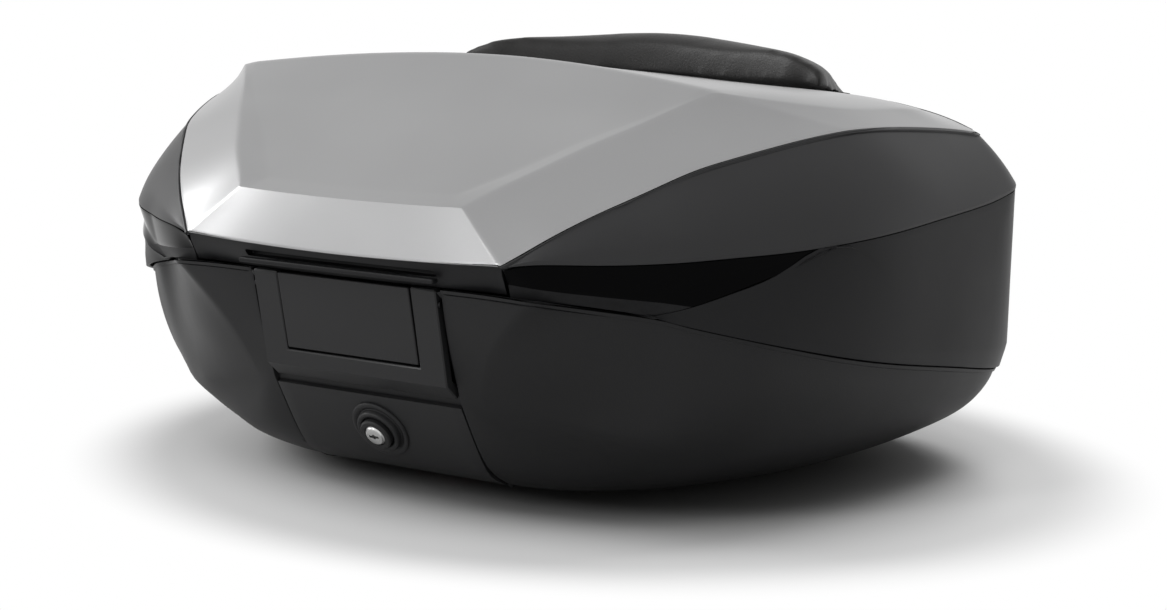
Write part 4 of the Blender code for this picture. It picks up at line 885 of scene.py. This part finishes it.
def makeFrame():
    s = frameShape
    wall = frameWall()
    shelf = shelfRow(wall)
    skirt = [v(x, y, s["sleeveLow"]) for x, y in sleeve]
    rows = [*wall, *sealSeat(wall, shelf), shelf, rowMix(shelf, skirt, .5), skirt]
    tip, last = s["wingTip"], s["insertLast"]
    lines = {1: upTo(tip, s["frontHem"], s["hemFold"]), 2: lambda i: 1 if tip <= i < last else 0,
             3: upTo(last, 1, 0), 4: upTo(last, s["foldLine"], 0), 5: 1, 6: s["shelfLine"],
             7: s["shelfLine"], 8: 1}
    shell = halfSkin("frameSkin", rows, lines, {s["insertFirst"]: s["cornerRib"], tip: 1}, 2)
    walled(shell, s["wall"], rim=0)
    y0, y1 = s["slotY"]
    slotSize = (2 * s["slotHalf"], y1 - y0, s["slotDepth"])
    cut(shell, cutter("strikerSlot", slotSize, v(0, (y0 + y1) / 2, s["shelfFrontZ"])))
    edgeRounded(shell, s["rounding"], 2, 60)
    finished(shell, "frame", moulded["blackPlastic"], "black_plastic", "frame_shell")


def makeInserts():
    # a closed strip in each recess, cut off square before the point
    s = frameShape
    rows = insertRows()
    inner = pushedRows(rows, -s["insertWall"])
    for p, q in zip(inner[-1], rows[-1]):
        p.z = q.z
    tip = [mix(row[-2], row[-1], s["insertTip"]) for row in rows]
    gap = outwardOf(tip[0]) * s["gap"]
    innerTip = [mix(a[-2], b[-1] + gap, s["insertTip"]) for a, b in zip(inner, rows)]
    for row, end in zip(rows + inner, tip + innerTip):
        row[-1] = end
    ring = rows + inner[::-1]
    for side, tail in ((1, "Right"), (-1, "Left")):
        bm = bmesh.new()
        loft(bm, ring + ring[:1], {n: 1 for n in range(len(ring) + 1)}, {s["tipStation"]: 1})
        for end in (0, -1):
            bm.faces.new([bm.verts.new(row[end]) for row in ring])
        bmesh.ops.scale(bm, vec=(side, 1, 1), verts=bm.verts)
        facingOut(weld(bm))
        crease = bm.edges.layers.float.get("crease_edge")
        for face in bm.faces:
            if len(face.verts) > 4:      # the two ends
                for around in face.edges:
                    around[crease] = 1
        strip = smoothSkin("glossStrip" + tail, bm)
        edgeRounded(strip, s["insertRounding"], 2, 30)
        finished(strip, "frame", glossBlack, "gloss_black", "gloss_insert_" + tail.lower())


makeFrame()
makeInserts()


# tub, lock panel and the tray inside
print("tub")
tubShape = {
    "rim": [
        (0, -.2065, .148), (.0755, -.206, .148), (.0765, -.219, .1494), (.11, -.2197, .1494),
        (.143, -.218, .148), (.171, -.1915, .142), (.1985, -.1665, .136), (.216, -.161, .1323),
        (.234, -.146, .1268), (.2515, -.1265, .1203), (.269, -.0795, .1073), (.2785, -.035, .0973),
        (.2845, .005, .0898), (.2875, .045, .0828), (.287, .085, .0753), (.2795, .122, .0698),
        (.252, .1615, .0668), (.2135, .1905, .0648), (.185, .2022, .0638), (.125, .2082, .0628),
        (.0625, .2102, .0628), (0, .2107, .0628),
    ],
    "waist": [
        (0, -.2, .112), (.0755, -.1995, .112), (.0765, -.211, .112), (.09, -.2104, .1112),
        (.107, -.2098, .11), (.148, -.1965, .1065), (.19, -.1665, .1015), (.213, -.154, .098),
        (.232, -.14, .095), (.249, -.1225, .09), (.266, -.077, .082), (.275, -.034, .076),
        (.28, .005, .071), (.2825, .045, .067), (.2815, .085, .062), (.274, .121, .0585),
        (.247, .159, .056), (.21, .187, .054), (.182, .1985, .053), (.124, .2045, .0525),
        (.062, .2065, .0525), (0, .207, .0525),
    ],
    "crease": [
        (0, -.196, .075), (.0755, -.196, .075), (.0765, -.1995, .0755), (.083, -.199, .075),
        (.092, -.1975, .074), (.13, -.187, .068), (.172, -.1692, .0595), (.204, -.1465, .056),
        (.219, -.131, .055), (.234, -.113, .053), (.25, -.073, .05), (.259, -.033, .047),
        (.264, .004, .045), (.2665, .045, .044), (.2655, .085, .0425), (.258, .119, .041),
        (.233, .153, .04), (.199, .18, .039), (.173, .191, .0385), (.119, .197, .038),
        (.06, .199, .038), (0, .1995, .038),
    ],
    "turn": [
        (0, -.17, .03), (.0755, -.17, .03), (.0765, -.174, .031), (.103, -.175, .0345),
        (.131, -.164, .031), (.153, -.152, .031), (.176, -.135, .0295), (.19, -.12, .0295),
        (.202, -.104, .0295), (.211, -.087, .029), (.222, -.056, .0275), (.229, -.024, .0265),
        (.233, .006, .026), (.235, .043, .0255), (.234, .08, .0255), (.227, .112, .0255),
        (.207, .141, .0255), (.179, .165, .0255), (.156, .176, .0255), (.108, .182, .0255),
        (.055, .184, .0255), (0, .1845, .0255),
    ],
    "floor": [
        (0, -.147, .016), (.0755, -.147, .016), (.0765, -.15, .0152), (.092, -.146, .014),
        (.113, -.134, .013), (.129, -.12, .0123), (.145, -.103, .012), (.155, -.089, .012),
        (.163, -.075, .012), (.17, -.06, .012), (.178, -.035, .012), (.183, -.011, .012),
        (.186, .01, .012), (.1875, .04, .012), (.187, .07, .012), (.182, .095, .012),
        (.167, .118, .012), (.145, .137, .012), (.127, .146, .012), (.088, .151, .012),
        (.045, .1525, .012), (0, .153, .012),
    ],
    # stations: the bay's step, where the lip rises, where the diagonal line starts
    "stepStation": 2, "riseOver": 3, "ribStation": 4,
    # sharpness of the bead's lines, of the front fold with its fall per station, and of the rib
    "beadHem": .25, "beadRoot": .2, "foldFall": .3, "bowlLine": .9, "rib": .85,
    # the bead stands out, is deep and ends below by these
    "bead": (.0009, .0022, .003),
    "rimLip": .0035, "wall": .0028, "gap": .0003, "bayHalf": .0765, "bayStep": .001,
    "rounding": .0011, "housingR": .0115, "holeRoom": .0008, "holeLength": .06, "holeBack": .02,
}
panelShape = {"wall": .003, "trimTop": .03, "trimLow": .12, "fold": .25, "rounding": .0007}
# the lock's place and lean, which the panel and the tub follow
lock = {"y": -.1921, "z": .0435, "tilt": radians(30)}
lockAxis = v(0, -cos(lock["tilt"]), -sin(lock["tilt"]))
lockCentre = v(0, lock["y"], lock["z"])


def tubRows():
    s = tubShape
    step, reach = s["stepStation"], s["rimLip"]
    rimRow = points(s["rim"])
    lip = []
    for i, p in enumerate(rimRow):
        inward = v(0, -reach, 0) if i <= step + 1 else outwardOf(p) * reach
        rise = min(1, max(0, i - step - 2) / s["riseOver"])
        lip.append(p - inward + v(0, 0, rise * reach))
    lip[0].x = lip[-1].x = 0
    return [lip, rimRow] + [points(s[name]) for name in ("waist", "crease", "turn", "floor")]


def beaded(rows):
    # a small round bead below the rim, left out behind the handle
    step = tubShape["stepStation"]
    out, deep, foot = tubShape["bead"]
    lip, rimRow, waist = rows[:3]
    proud, hem, root = [], [], []
    for i, (p, q) in enumerate(zip(rimRow, waist)):
        down = (q - p).normalized()
        side = outwardOf(p) * (out if i >= step else 0)
        proud.append(p + side)
        hem.append(p + side + down * deep)
        root.append(p + down * foot)
    for row in (proud, hem, root):
        row[0].x = row[-1].x = 0
    return [lip, proud, hem, root, *rows[2:]]


def keelled(rows):
    # the rows of a bowl with its floor closed along the middle
    floor = rows[-1]
    last = len(floor) - 1
    front, rear = floor[0], floor[-1]
    keel = [v(0, mix(front.y, rear.y, i / last), mix(front.z, rear.z, min(1, i / 2)))
            for i in range(last + 1)]
    return [keel, rowMix(keel, floor, .5), *rows[::-1]]


def lockHole(name, radius):
    middle = lockCentre - lockAxis * tubShape["holeBack"]
    return roundCutter(name, radius, tubShape["holeLength"], middle, lockAxis)


def makeTub():
    s = tubShape

    def frontFold(i):
        return max(0, 1 - max(0, i - s["ribStation"]) * s["foldFall"]) if i > 1 else 1

    def rib(r):
        return s["rib"] if 4 <= r < 8 else 0

    lines = {2: s["beadHem"], 3: s["beadRoot"], 4: frontFold, 6: s["bowlLine"],
             7: s["bowlLine"], 8: 1}
    ribs = {1: 1, s["stepStation"]: 1, s["ribStation"]: rib}
    tub = halfSkin("tubSkin", keelled(beaded(tubRows())), lines, ribs)
    walled(tub, s["wall"], rim=0)
    cut(tub, lockHole("tubHole", s["housingR"] + s["holeRoom"]))
    edgeRounded(tub, s["rounding"], 3, 60)
    finished(tub, "base", moulded["tubPlastic"], "black_plastic", "lower_shell")


def makeLockPanel():
    s, look = tubShape, panelShape
    rows = [[p.copy() for p in row[:s["stepStation"]]] for row in tubRows()[3:]]
    for row in rows:
        row[-1].x = s["bayHalf"] - s["bayStep"] - s["gap"]
    rows[0] = rowMix(rows[0], rows[1], look["trimTop"])
    rows[2] = rowMix(rows[2], rows[1], look["trimLow"])
    rows = pushedRows(rows[::-1], s["gap"])
    panel = halfSkin("lockPanelSkin", rows, {0: 1, 1: look["fold"], 2: 1}, {1: 1})
    walled(panel, look["wall"], 1, 0)
    cut(panel, lockHole("panelHole", s["housingR"] + s["holeRoom"] / 2))
    edgeRounded(panel, look["rounding"], 3, 50)
    finished(panel, "base", moulded["darkSatin"], "dark_satin", "lock_panel")


# the tray's wall stands inside the frame's sleeve, its floor turns in over three lines
trayShape = {
    "top": .13, "low": .058, "wall": .002, "slide": .0012, "rounding": .0003, "floorLine": .7,
    "turn": [(.965, .042), (.87, .027), (.7, .0174)],
}


def trayRows():
    s = trayShape
    inset = s["slide"] + s["wall"]
    ring = [(x - inset * (x > 0), y + (inset if y < 0 else -inset)) for x, y in sleeve]
    rows = [[v(x, y, z) for x, y in ring] for z in (s["top"], s["low"])]
    return rows + [[v(x * share, y * share, z) for x, y in ring] for share, z in s["turn"]]


def makeTray():
    rows = trayRows()
    upper = halfSkin("trayWallSkin", rows[1::-1], levels=2)
    rows[1] = [p - v(0, 0, tubShape["gap"]) for p in rows[1]]
    lines = {2: trayShape["floorLine"]}
    lower = halfSkin("trayFloorSkin", keelled(rows[1:]), lines, levels=2)
    for piece, node in ((upper, "tray_wall"), (lower, "inner_tray")):
        walled(piece, trayShape["wall"], 1, trayShape["rounding"])
        finished(piece, "base", moulded["linerPlastic"], "liner", node)


makeTub()
makeLockPanel()
makeTray()


# lock: ring round it and the plug with the key's slot
print("lock")
lockShape = {
    "bossR": .0215, "bossHeight": .005, "ringHeight": .002, "knobR": .0162, "bore": .0119,
    "plugR": .0077, "faceR": .0064, "plugLength": .022,
    "key": (.0078, .0018, .008), "ward": (.002, .0034, .008), "keyIn": .0005,
}


def makeLockRing():
    # a low outer ring, a groove, and a round knob with its bore
    s = lockShape
    panel = (points(tubShape["crease"])[0] - lockCentre).dot(lockAxis) + panelShape["wall"]
    foot = panel + 2 * tubShape["gap"]
    low, top = foot + s["ringHeight"], foot + s["bossHeight"]
    r, knob, bore = s["bossR"], s["knobR"], s["bore"]
    profile = [
        (r, foot), (r, low - .001), (r - .0003, low - .0004), (r - .001, low),
        (knob + .0024, low), (knob + .0016, low - .0006), (knob + .0006, low - .001),
        (knob + .0001, low - .0006), (knob, low), (knob - .0003, top - .0012),
        (knob - .0007, top - .0004), (knob - .0015, top), (bore + .0022, top),
        (bore + .0012, top - .0002), (bore + .0003, top - .0008), (bore, top - .0016),
        (bore, foot), (r, foot),
    ]
    boss = spun("lockRing", profile, lockCentre, lockAxis)
    finished(boss, "base", moulded["darkSatin"], "dark_satin", "lock_boss", angle=40)


def makeKeyPlug():
    s = lockShape
    r, face, length = s["plugR"], s["faceR"], s["plugLength"]
    profile = [
        (0, -length), (r - .0004, -length), (r, .0004 - length), (r, -.002), (r - .0003, -.0015),
        (face + .0003, -.0011), (face, -.0007), (face - .0001, -.0002), (face - .0004, 0), (0, 0),
    ]
    plug = spun("keyPlugDisc", profile, lockCentre, lockAxis)
    for size in (s["key"], s["ward"]):
        cut(plug, cutter("keySlot", size, lockCentre - lockAxis * s["keyIn"], onAxis(lockAxis)))
    finished(plug, "key", lockMetal, "lock_metal", "key_plug", angle=40)


makeLockRing()
makeKeyPlug()


# fittings: pieces that keep their own shape and get fine edges
print("fittings")
slotLook = {
    "black_plastic": moulded["blackPlastic"], "dark_satin": moulded["darkSatin"],
    "clip_red": moulded["clipRed"], "steel": steel, "mat": ribbedMat,
}
slotOf = {part["node"]: part["material_slot"] for part in frame["record"]["subparts"]}
bodies = frame["record"]["behaviour"]["bodies"]
bodyOf = {node: body for body, nodes in bodies.items() for node in nodes}
edgeWidths = {
    "carry_handle": .0014, "latch_cover": .0009, "mounting_plate": .0008, "rack_tongue": .0007,
    "tongue_keeper": .0004, "lock_cam": .0004, "hinge_leaf_right": .0004,
    "hinge_leaf_left": .0004, "hinge_strap_right": .0004, "hinge_strap_left": .0004,
    "latch_hook": .0004, "latch_carrier": .0004, "striker": .0004, "floor_mat": .0006,
    "lift_rail_right": .0005, "lift_rail_left": .0005, "lift_catch_right": .0005,
    "lift_catch_left": .0005, "catch_guide_right": .0005, "catch_guide_left": .0005,
}
# room left round a piece, so that its joint shows as a dark line
jointRoom = {"latch_cover": v(.0007, 0, .0007), "carry_handle": v(.0006, 0, 0)}
# pockets in two rows and bolt slots near the corners, in the underside
plateShape = {
    "pocket": (.03, .044, .0028), "pocketAt": (.034, (.012, .066)), "pocketEdge": .0013,
    "slot": (.026, .006, .02), "slotAt": (.06, (-.085, .09)), "slotEdge": .0025,
}
tongueShape = {"ribs": 4, "pitch": .0045, "first": .01, "groove": (.024, .0016, .0012)}
railShape = {"width": .0024, "length": .006, "ends": .022, "rise": .004, "edge": .001}


def camel(node):
    first, *rest = node.split("_")
    return first + "".join(word.title() for word in rest or ["plate"])


def plateDetails(piece, low, high):
    s = plateShape
    for kind in ("pocket", "slot"):
        x, ys = s[kind + "At"]
        for y in ys:
            for side in (-1, 1):
                place = v(side * x, y, low.z)
                cut(piece, roundedCutter(kind, s[kind], place, s[kind + "Edge"]))


def tongueRibs(piece, low, high):
    s = tongueShape
    for n in range(s["ribs"]):
        place = v(0, low.y + s["first"] + n * s["pitch"], low.z)
        cut(piece, cutter("grip", s["groove"], place))


def railGroove(piece, low, high):
    s = railShape
    middle = (low + high) / 2 + v(0, 0, s["rise"])
    middle.x = low.x if low.x > 0 else high.x
    size = (s["width"], s["length"], high.z - low.z - s["ends"])
    cut(piece, roundedCutter("railGroove", size, middle, s["edge"]))


details = {"mounting_plate": plateDetails, "rack_tongue": tongueRibs,
           "lift_rail_left": railGroove, "lift_rail_right": railGroove}


def makeFitting(node):
    piece = asObject(camel(node), cadShape(node))
    low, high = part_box(node)
    if node in jointRoom:
        middle, room = (low + high) / 2, jointRoom[node]
        for vert in piece.data.vertices:
            for k in range(3):
                share = 1 - 2 * room[k] / (high[k] - low[k])
                vert.co[k] = middle[k] + (vert.co[k] - middle[k]) * share
    if node in details:
        details[node](piece, low, high)
    width, slot = edgeWidths[node], slotOf[node]
    edgeRounded(piece, width, 3 if width > .0005 else 2)
    finished(piece, bodyOf[node], slotLook[slot], slot, node, angle=38, flat=True)


for name in edgeWidths:
    makeFitting(name)


# screws, feet and pins
print("screws and feet")
screwShape = {"socketShare": .48, "socketDepth": .75, "steps": 32}
screwFacing = {
    "tray_screw": (0, 0, 1), "keeper_screw": (0, 0, -1), "hinge_screw": (0, 1, 0),
    "strap_screw": (0, 1, 1),
}


def headOf(node, facing):
    # centre of the outer face, axis, radius and height of a plain screw head
    bm = cadShape(node, 1)
    caps = sorted(bm.faces, key=lambda face: -len(face.verts))[:2]
    outer = max(caps, key=lambda face: face.normal.dot(Vector(facing)))
    inner = min(caps, key=lambda face: face.normal.dot(Vector(facing)))
    centre, axis = outer.calc_center_median(), outer.normal.copy()
    radius = (outer.verts[0].co - centre).length
    height = (centre - inner.calc_center_median()).length
    bm.free()
    return centre, axis, radius, height


def makeScrew(node):
    s = screwShape
    centre, axis, r, h = headOf(node, screwFacing[node[:-2]])
    profile = [
        (0, -h), (r * .97, -h), (r, -h * .9), (r, -h * .45), (r * .95, -h * .2),
        (r * .82, -h * .05), (r * .66, 0), (0, 0),
    ]
    screw = spun(camel(node), profile, centre, axis, s["steps"])
    depth = 2 * h * s["socketDepth"]
    cut(screw, roundCutter("hexSocket", r * s["socketShare"], depth, centre, axis, 6))
    finished(screw, bodyOf[node], steel, "steel", node, angle=40)


footShape = {
    "lip": .0012, "groove": .0008, "hollow": .0045, "edge": .0004, "rim": .0006, "steps": 48,
}


def makeFoot(node):
    # a turned rubber foot with a hollow below and a groove round its middle
    s = footShape
    low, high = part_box(node)
    r, h = (high.x - low.x) / 2, high.z - low.z
    hollow, groove = s["hollow"], s["groove"]
    profile = [
        (0, groove), (hollow * .5, groove), (hollow, groove * .8), (hollow * 1.15, .0003),
        (hollow * 1.25, 0), (r - s["lip"], 0), (r - s["edge"], s["edge"]), (r, s["lip"]),
        (r, h * .45), (r - groove, h * .5), (r - groove, h * .6), (r, h * .65),
        (r, h - s["rim"]), (r - s["rim"], h), (0, h),
    ]
    place = v((low.x + high.x) / 2, (low.y + high.y) / 2, low.z)
    foot = spun(camel(node), profile, place, (0, 0, 1), s["steps"])
    finished(foot, "base", footRubber, "foot_rubber", node, angle=40)


for kind, amount in (("tray", 4), ("keeper", 2), ("hinge", 4), ("strap", 4)):
    for n in range(amount):
        makeScrew("%s_screw_%d" % (kind, n + 1))
for n in range(4):
    makeFoot("rubber_foot_%d" % (n + 1))

# fixed nodes that keep their mesh and only get a material
keptNodes = {
    "hinge_pin_left": steel, "hinge_pin_right": steel, "latch_pin": steel,
    "lock_housing": moulded["darkSatin"], "handle_pin_left": blackSteel,
    "handle_pin_right": blackSteel,
}
for node, finish in keptNodes.items():
    frame["nodes"][node].data.materials.clear()
    frame["nodes"][node].data.materials.append(finish)


# rim seal: a hollow bulb on the frame's shelf
print("seal")
sealShape = {
    "lift": .0003,
    # across the seat and up, as shares of its width and height
    "round": [(0, 0), (0, .35), (.08, .75), (.35, 1), (.65, 1), (.92, .75), (1, .35), (1, 0)],
}


def makeSeal():
    wall = frameWall()
    near, far = sealSeat(wall, shelfRow(wall))
    rows = []
    for across, height in sealShape["round"]:
        rise = v(0, 0, sealShape["lift"] + height * frameShape["sealHeight"])
        rows.append([p + rise for p in rowMix(near, far, across)])
    bm = bmesh.new()
    loft(bm, rows + rows[:1], {0: 1, len(rows) - 1: 1})
    seal = smoothSkin("rimSealBulb", facingOut(bothHalves(weld(bm))), 2)
    finished(seal, "frame", sealRubber, "seal_rubber", "rim_seal", angle=50)


makeSeal()


# backrest: plate on the lid's rear slope and the padded cushion on it
print("backrest")
restShape = {
    "station": 19, "lowShare": .93, "highShare": .8, "wall": .0035, "gap": .0006,
    "rounding": .0007,
}
padShape = {
    # half width, then the outline in Y and Z from the front foot over the top to the rear hem
    "rings": [
        (
            0, (.12, .256), (.1235, .2765), (.13, .2815), (.152, .28), (.192, .262), (.227, .234),
            (.2315, .223), (.217, .2165),
        ),
        (
            .06, (.113, .2543), (.116, .274), (.123, .2778), (.15, .277), (.191, .26),
            (.2255, .2335), (.23, .223), (.216, .2165),
        ),
        (
            .105, (.104, .2541), (.107, .2735), (.114, .2765), (.144, .272), (.186, .2565),
            (.22, .233), (.225, .223), (.212, .2165),
        ),
        (
            .13, (.097, .2541), (.1, .2712), (.107, .2738), (.138, .2685), (.179, .254),
            (.211, .232), (.216, .223), (.206, .2165),
        ),
        (
            .147, (.097, .2525), (.0985, .2645), (.105, .2668), (.133, .264), (.172, .25),
            (.202, .229), (.207, .2215), (.2, .2165),
        ),
        (
            .159, (.099, .251), (.1005, .258), (.106, .26), (.131, .258), (.166, .2445),
            (.192, .225), (.196, .22), (.192, .2165),
        ),
    ],
    # the pad narrows to this share between these two Y, and its back follows the lid
    "narrow": (.103, .17, .85), "back": (.42, .58, .76, .92), "lift": .0082,
    # sharpness of the lines along the outline
    "lines": {0: .7, 1: .75, 2: .3, 6: .3, 7: .5, 11: .6},
    "voxel": .004, "quickVoxel": .005, "smooth": .5, "shrink": .0022, "cap": .0026,
}
# how the cushion's skin swells, and how its front foot is pressed onto the lid
padCloth = {
    "frames": 20, "pressure": 4, "quality": 6, "mass": .3, "stretch": 20, "shear": 10, "bend": 2,
}
padFoot = {
    "frontY": .125, "fadeY": .02, "lowZ": .254, "fadeZ": .012, "drop": .0022,
    "sideX": .11, "fadeX": .03, "sideMore": .7,
}


def makePlate():
    s = restShape
    hem, low, high, top = (row[s["station"]:] for row in sideRows()[1:])
    rows = [rowMix(hem, low, s["lowShare"]), low, high, rowMix(high, top, s["highShare"])]
    for row in rows:
        row[0] = mix(row[1], row[0], .5)
    rows = pushedRows(rows, s["gap"])
    plate = halfSkin("backrestPlateSkin", rows, {0: 1, 3: 1}, {0: 1})
    walled(plate, s["wall"], 1, s["rounding"])
    finished(plate, "lid", moulded["darkSatin"], "dark_satin", "backrest_plate")


def padLoops():
    # outlines from the middle to the side: the drawn front and top, then the back on the lid
    start, end, share = padShape["narrow"]
    loops = []
    for half, *outer in padShape["rings"]:
        back = half * share
        i = next(k for k in range(len(rim) - 2, 0, -1) if rim[k].x >= back)
        t = (back - rim[i + 1].x) / (rim[i].x - rim[i + 1].x)
        low, high = mix(rim[i + 1], rim[i], t), mix(edge[i + 1], edge[i], t)
        rise = v(0, high.y - low.y, high.z - low.z)
        lift = v(0, rise.z, -rise.y).normalized() * padShape["lift"]
        inner = [v(back, low.y, low.z) + rise * t + lift for t in padShape["back"]]
        shares = [mix(1, share, min(1, max(0, (y - start) / (end - start)))) for y, z in outer]
        loops.append([v(half * k, y, z) for k, (y, z) in zip(shares, outer)] + inner)
    return loops


def makePad():
    loops = padLoops()
    bm = bmesh.new()
    loft(bm, [loop + loop[:1] for loop in loops], None, padShape["lines"])
    bm.faces.new([bm.verts.new(p) for p in loops[-1]])
    pad = smoothSkin("backrestCushion", facingOut(bothHalves(weld(bm))))
    voxel = padShape["voxel"]
    applied(pad, "REMESH", mode="VOXEL", voxel_size=voxel)
    inflate(pad)
    applied(pad, "SMOOTH", factor=padShape["smooth"], iterations=5)
    settle(pad)
    applied(pad, "SMOOTH", factor=padShape["smooth"], iterations=4)
    applied(pad, "SUBSURF", levels=1, render_levels=1)
    finished(pad, "lid", padVinyl, "pad", "backrest_pad", angle=80)


def inflate(pad):
    # the skin is drawn in, then swells under pressure as far as the foam allows
    cloth = padCloth
    normals = [vert.normal.copy() for vert in pad.data.vertices]
    for vert, normal in zip(pad.data.vertices, normals):
        vert.co -= normal * padShape["shrink"]
    start = [vert.co.copy() for vert in pad.data.vertices]
    scene = bpy.context.scene
    scene.frame_set(1)
    mod = pad.modifiers.new("Cloth", "CLOTH")
    settings = mod.settings
    settings.quality, settings.mass = cloth["quality"], cloth["mass"]
    settings.use_pressure, settings.uniform_pressure_force = True, cloth["pressure"]
    settings.tension_stiffness = settings.compression_stiffness = cloth["stretch"]
    settings.shear_stiffness, settings.bending_stiffness = cloth["shear"], cloth["bend"]
    settings.effector_weights.gravity = 0
    mod.point_cache.frame_start, mod.point_cache.frame_end = 1, cloth["frames"]
    for n in range(1, cloth["frames"] + 1):
        scene.frame_set(n)
    shown = pad.evaluated_get(bpy.context.evaluated_depsgraph_get()).data
    swollen = [vert.co.copy() for vert in shown.vertices]
    pad.modifiers.remove(mod)
    scene.frame_set(1)
    for vert, old, new in zip(pad.data.vertices, start, swollen):
        move = new - old
        vert.co = old + move * min(1, padShape["cap"] / max(move.length, 1e-6))
    pad.data.update()


def settle(pad):
    # down onto the lid along its front foot, and within the fixed cushion's box
    s = padFoot
    low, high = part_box("backrest_pad")
    for vert in pad.data.vertices:
        x, y, z = vert.co
        front = max(0, 1 - max(0, y - s["frontY"]) / s["fadeY"])
        foot = max(0, 1 - max(0, z - s["lowZ"]) / s["fadeZ"])
        side = min(1, max(0, abs(x) - s["sideX"]) / s["fadeX"])
        vert.co.z -= s["drop"] * front * foot * (1 + s["sideMore"] * side)
        vert.co = Vector([min(max(c, a), b) for c, a, b in zip(vert.co, low, high)])
    pad.data.update()


makePlate()
makePad()


# floor, light and camera
print("stage")
stageLook = {
    # painted shadow: the floor's colour is darker under the case, fading at the first pair of
    # shares of its reach; its shadow fades out at the second pair
    "floorSize": 40, "paintedShadowTones": (.32, .8), "paintedShadowEnds": (.45, .92), "shadowEnds": (.92, 1.18),
    "shadowReach": (.335, .285), "shadowShift": .04, "worldStrength": .3,
    "softboxes": [
        # place, what it faces, width, height, watts, seen in reflections
        ((-2.2, -.8, 1.35), (0, 0, .15), .9, 1.3, 38, True),
        ((-.7, -2.45, 1.35), (0, 0, .15), .4, 1.0, 14, True),
        ((.4, 1.5, 2.5), (0, 0, .2), 2.0, .9, 40, False),
        ((.85, -.9, 2.2), (0, 0, .2), 1.4, 1.2, 11, False),
    ],
    "cameraPlace": (1.0409, -1.4362, .4081), "cameraAim": (-.56802, .80522, -.17021),
    "lens": 80.2057, "sensor": 36,
}


def seenPath(look):
    # 1 for what is seen at once, in a reflection or through glass
    kinds = ("Is Camera Ray", "Is Glossy Ray", "Is Transmission Ray")
    seen, mirrored, through = (look.node("LightPath", {}, {}, kind) for kind in kinds)
    return (seen + mirrored + through).clamped()


def makeFloor():
    bpy.ops.mesh.primitive_plane_add(size=stageLook["floorSize"], location=(0, 0, 0))
    floor = bpy.context.active_object
    floor.name = "studioFloor"
    floor.select_set(False)
    look = Look("paleFloor", Roughness=.9, Specular_IOR_Level=0)
    across, along = stageLook["shadowReach"]
    x, y = look.part(0) - stageLook["shadowShift"], look.part(1)
    reach = ((x / across) ** 2 + (y / along) ** 2) ** .5

    def fade(start, end):
        values = {"Value": reach, "From Min": start, "From Max": end}
        return look.node("MapRange", {"interpolation_type": "SMOOTHSTEP"}, values)

    # painted shadow: the floor's own colour darkens under the case
    clear, paintedShadow = fade(*stageLook["shadowEnds"]), fade(*stageLook["paintedShadowEnds"])
    dark, pale = stageLook["paintedShadowTones"]
    look.feed("Base Color", look.blend(paintedShadow, (dark,) * 3, (pale,) * 3))
    glow = look.node("Emission", {}, {"Color": (1, 1, 1, 1), "Strength": 1.0})
    shadowed = Value(look, look.shader.outputs[0])
    joined = look.node("MixShader", {}, {0: seenPath(look) * clear, 1: shadowed, 2: glow})
    look.tree.links.new(joined.socket, look.tree.nodes["Material Output"].inputs["Surface"])
    floor.data.materials.append(look.material)


def makeWorld():
    # white where it is seen, dimmer as a light
    sky = Look("paleStudio", world=True, Color=(1, 1, 1, 1))
    sky.feed("Strength", mix(stageLook["worldStrength"], 1, seenPath(sky)))
    bpy.context.scene.world = sky.material


def makeSoftboxes():
    for n, (place, aim, width, height, watts, mirrored) in enumerate(stageLook["softboxes"]):
        lamp = bpy.data.lights.new("softbox%d" % (n + 1), "AREA")
        lamp.shape = "RECTANGLE"
        lamp.size, lamp.size_y, lamp.energy = width, height, watts
        box = bpy.data.objects.new(lamp.name, lamp)
        box.location = place
        box.visible_glossy = mirrored
        box.rotation_euler = (Vector(aim) - Vector(place)).to_track_quat("-Z", "Y").to_euler()
        bpy.context.scene.collection.objects.link(box)


def makeCamera():
    lens = bpy.data.cameras.new("frontCorner")
    camera = bpy.data.objects.new("frontCorner", lens)
    bpy.context.scene.collection.objects.link(camera)
    lens.lens, lens.sensor_width, lens.clip_start = stageLook["lens"], stageLook["sensor"], .01
    camera.location = stageLook["cameraPlace"]
    camera.rotation_euler = Vector(stageLook["cameraAim"]).to_track_quat("-Z", "Y").to_euler()
    bpy.context.scene.camera = camera


makeFloor()
makeWorld()
makeSoftboxes()
makeCamera()
bpy.context.scene.view_settings.view_transform = "Standard"
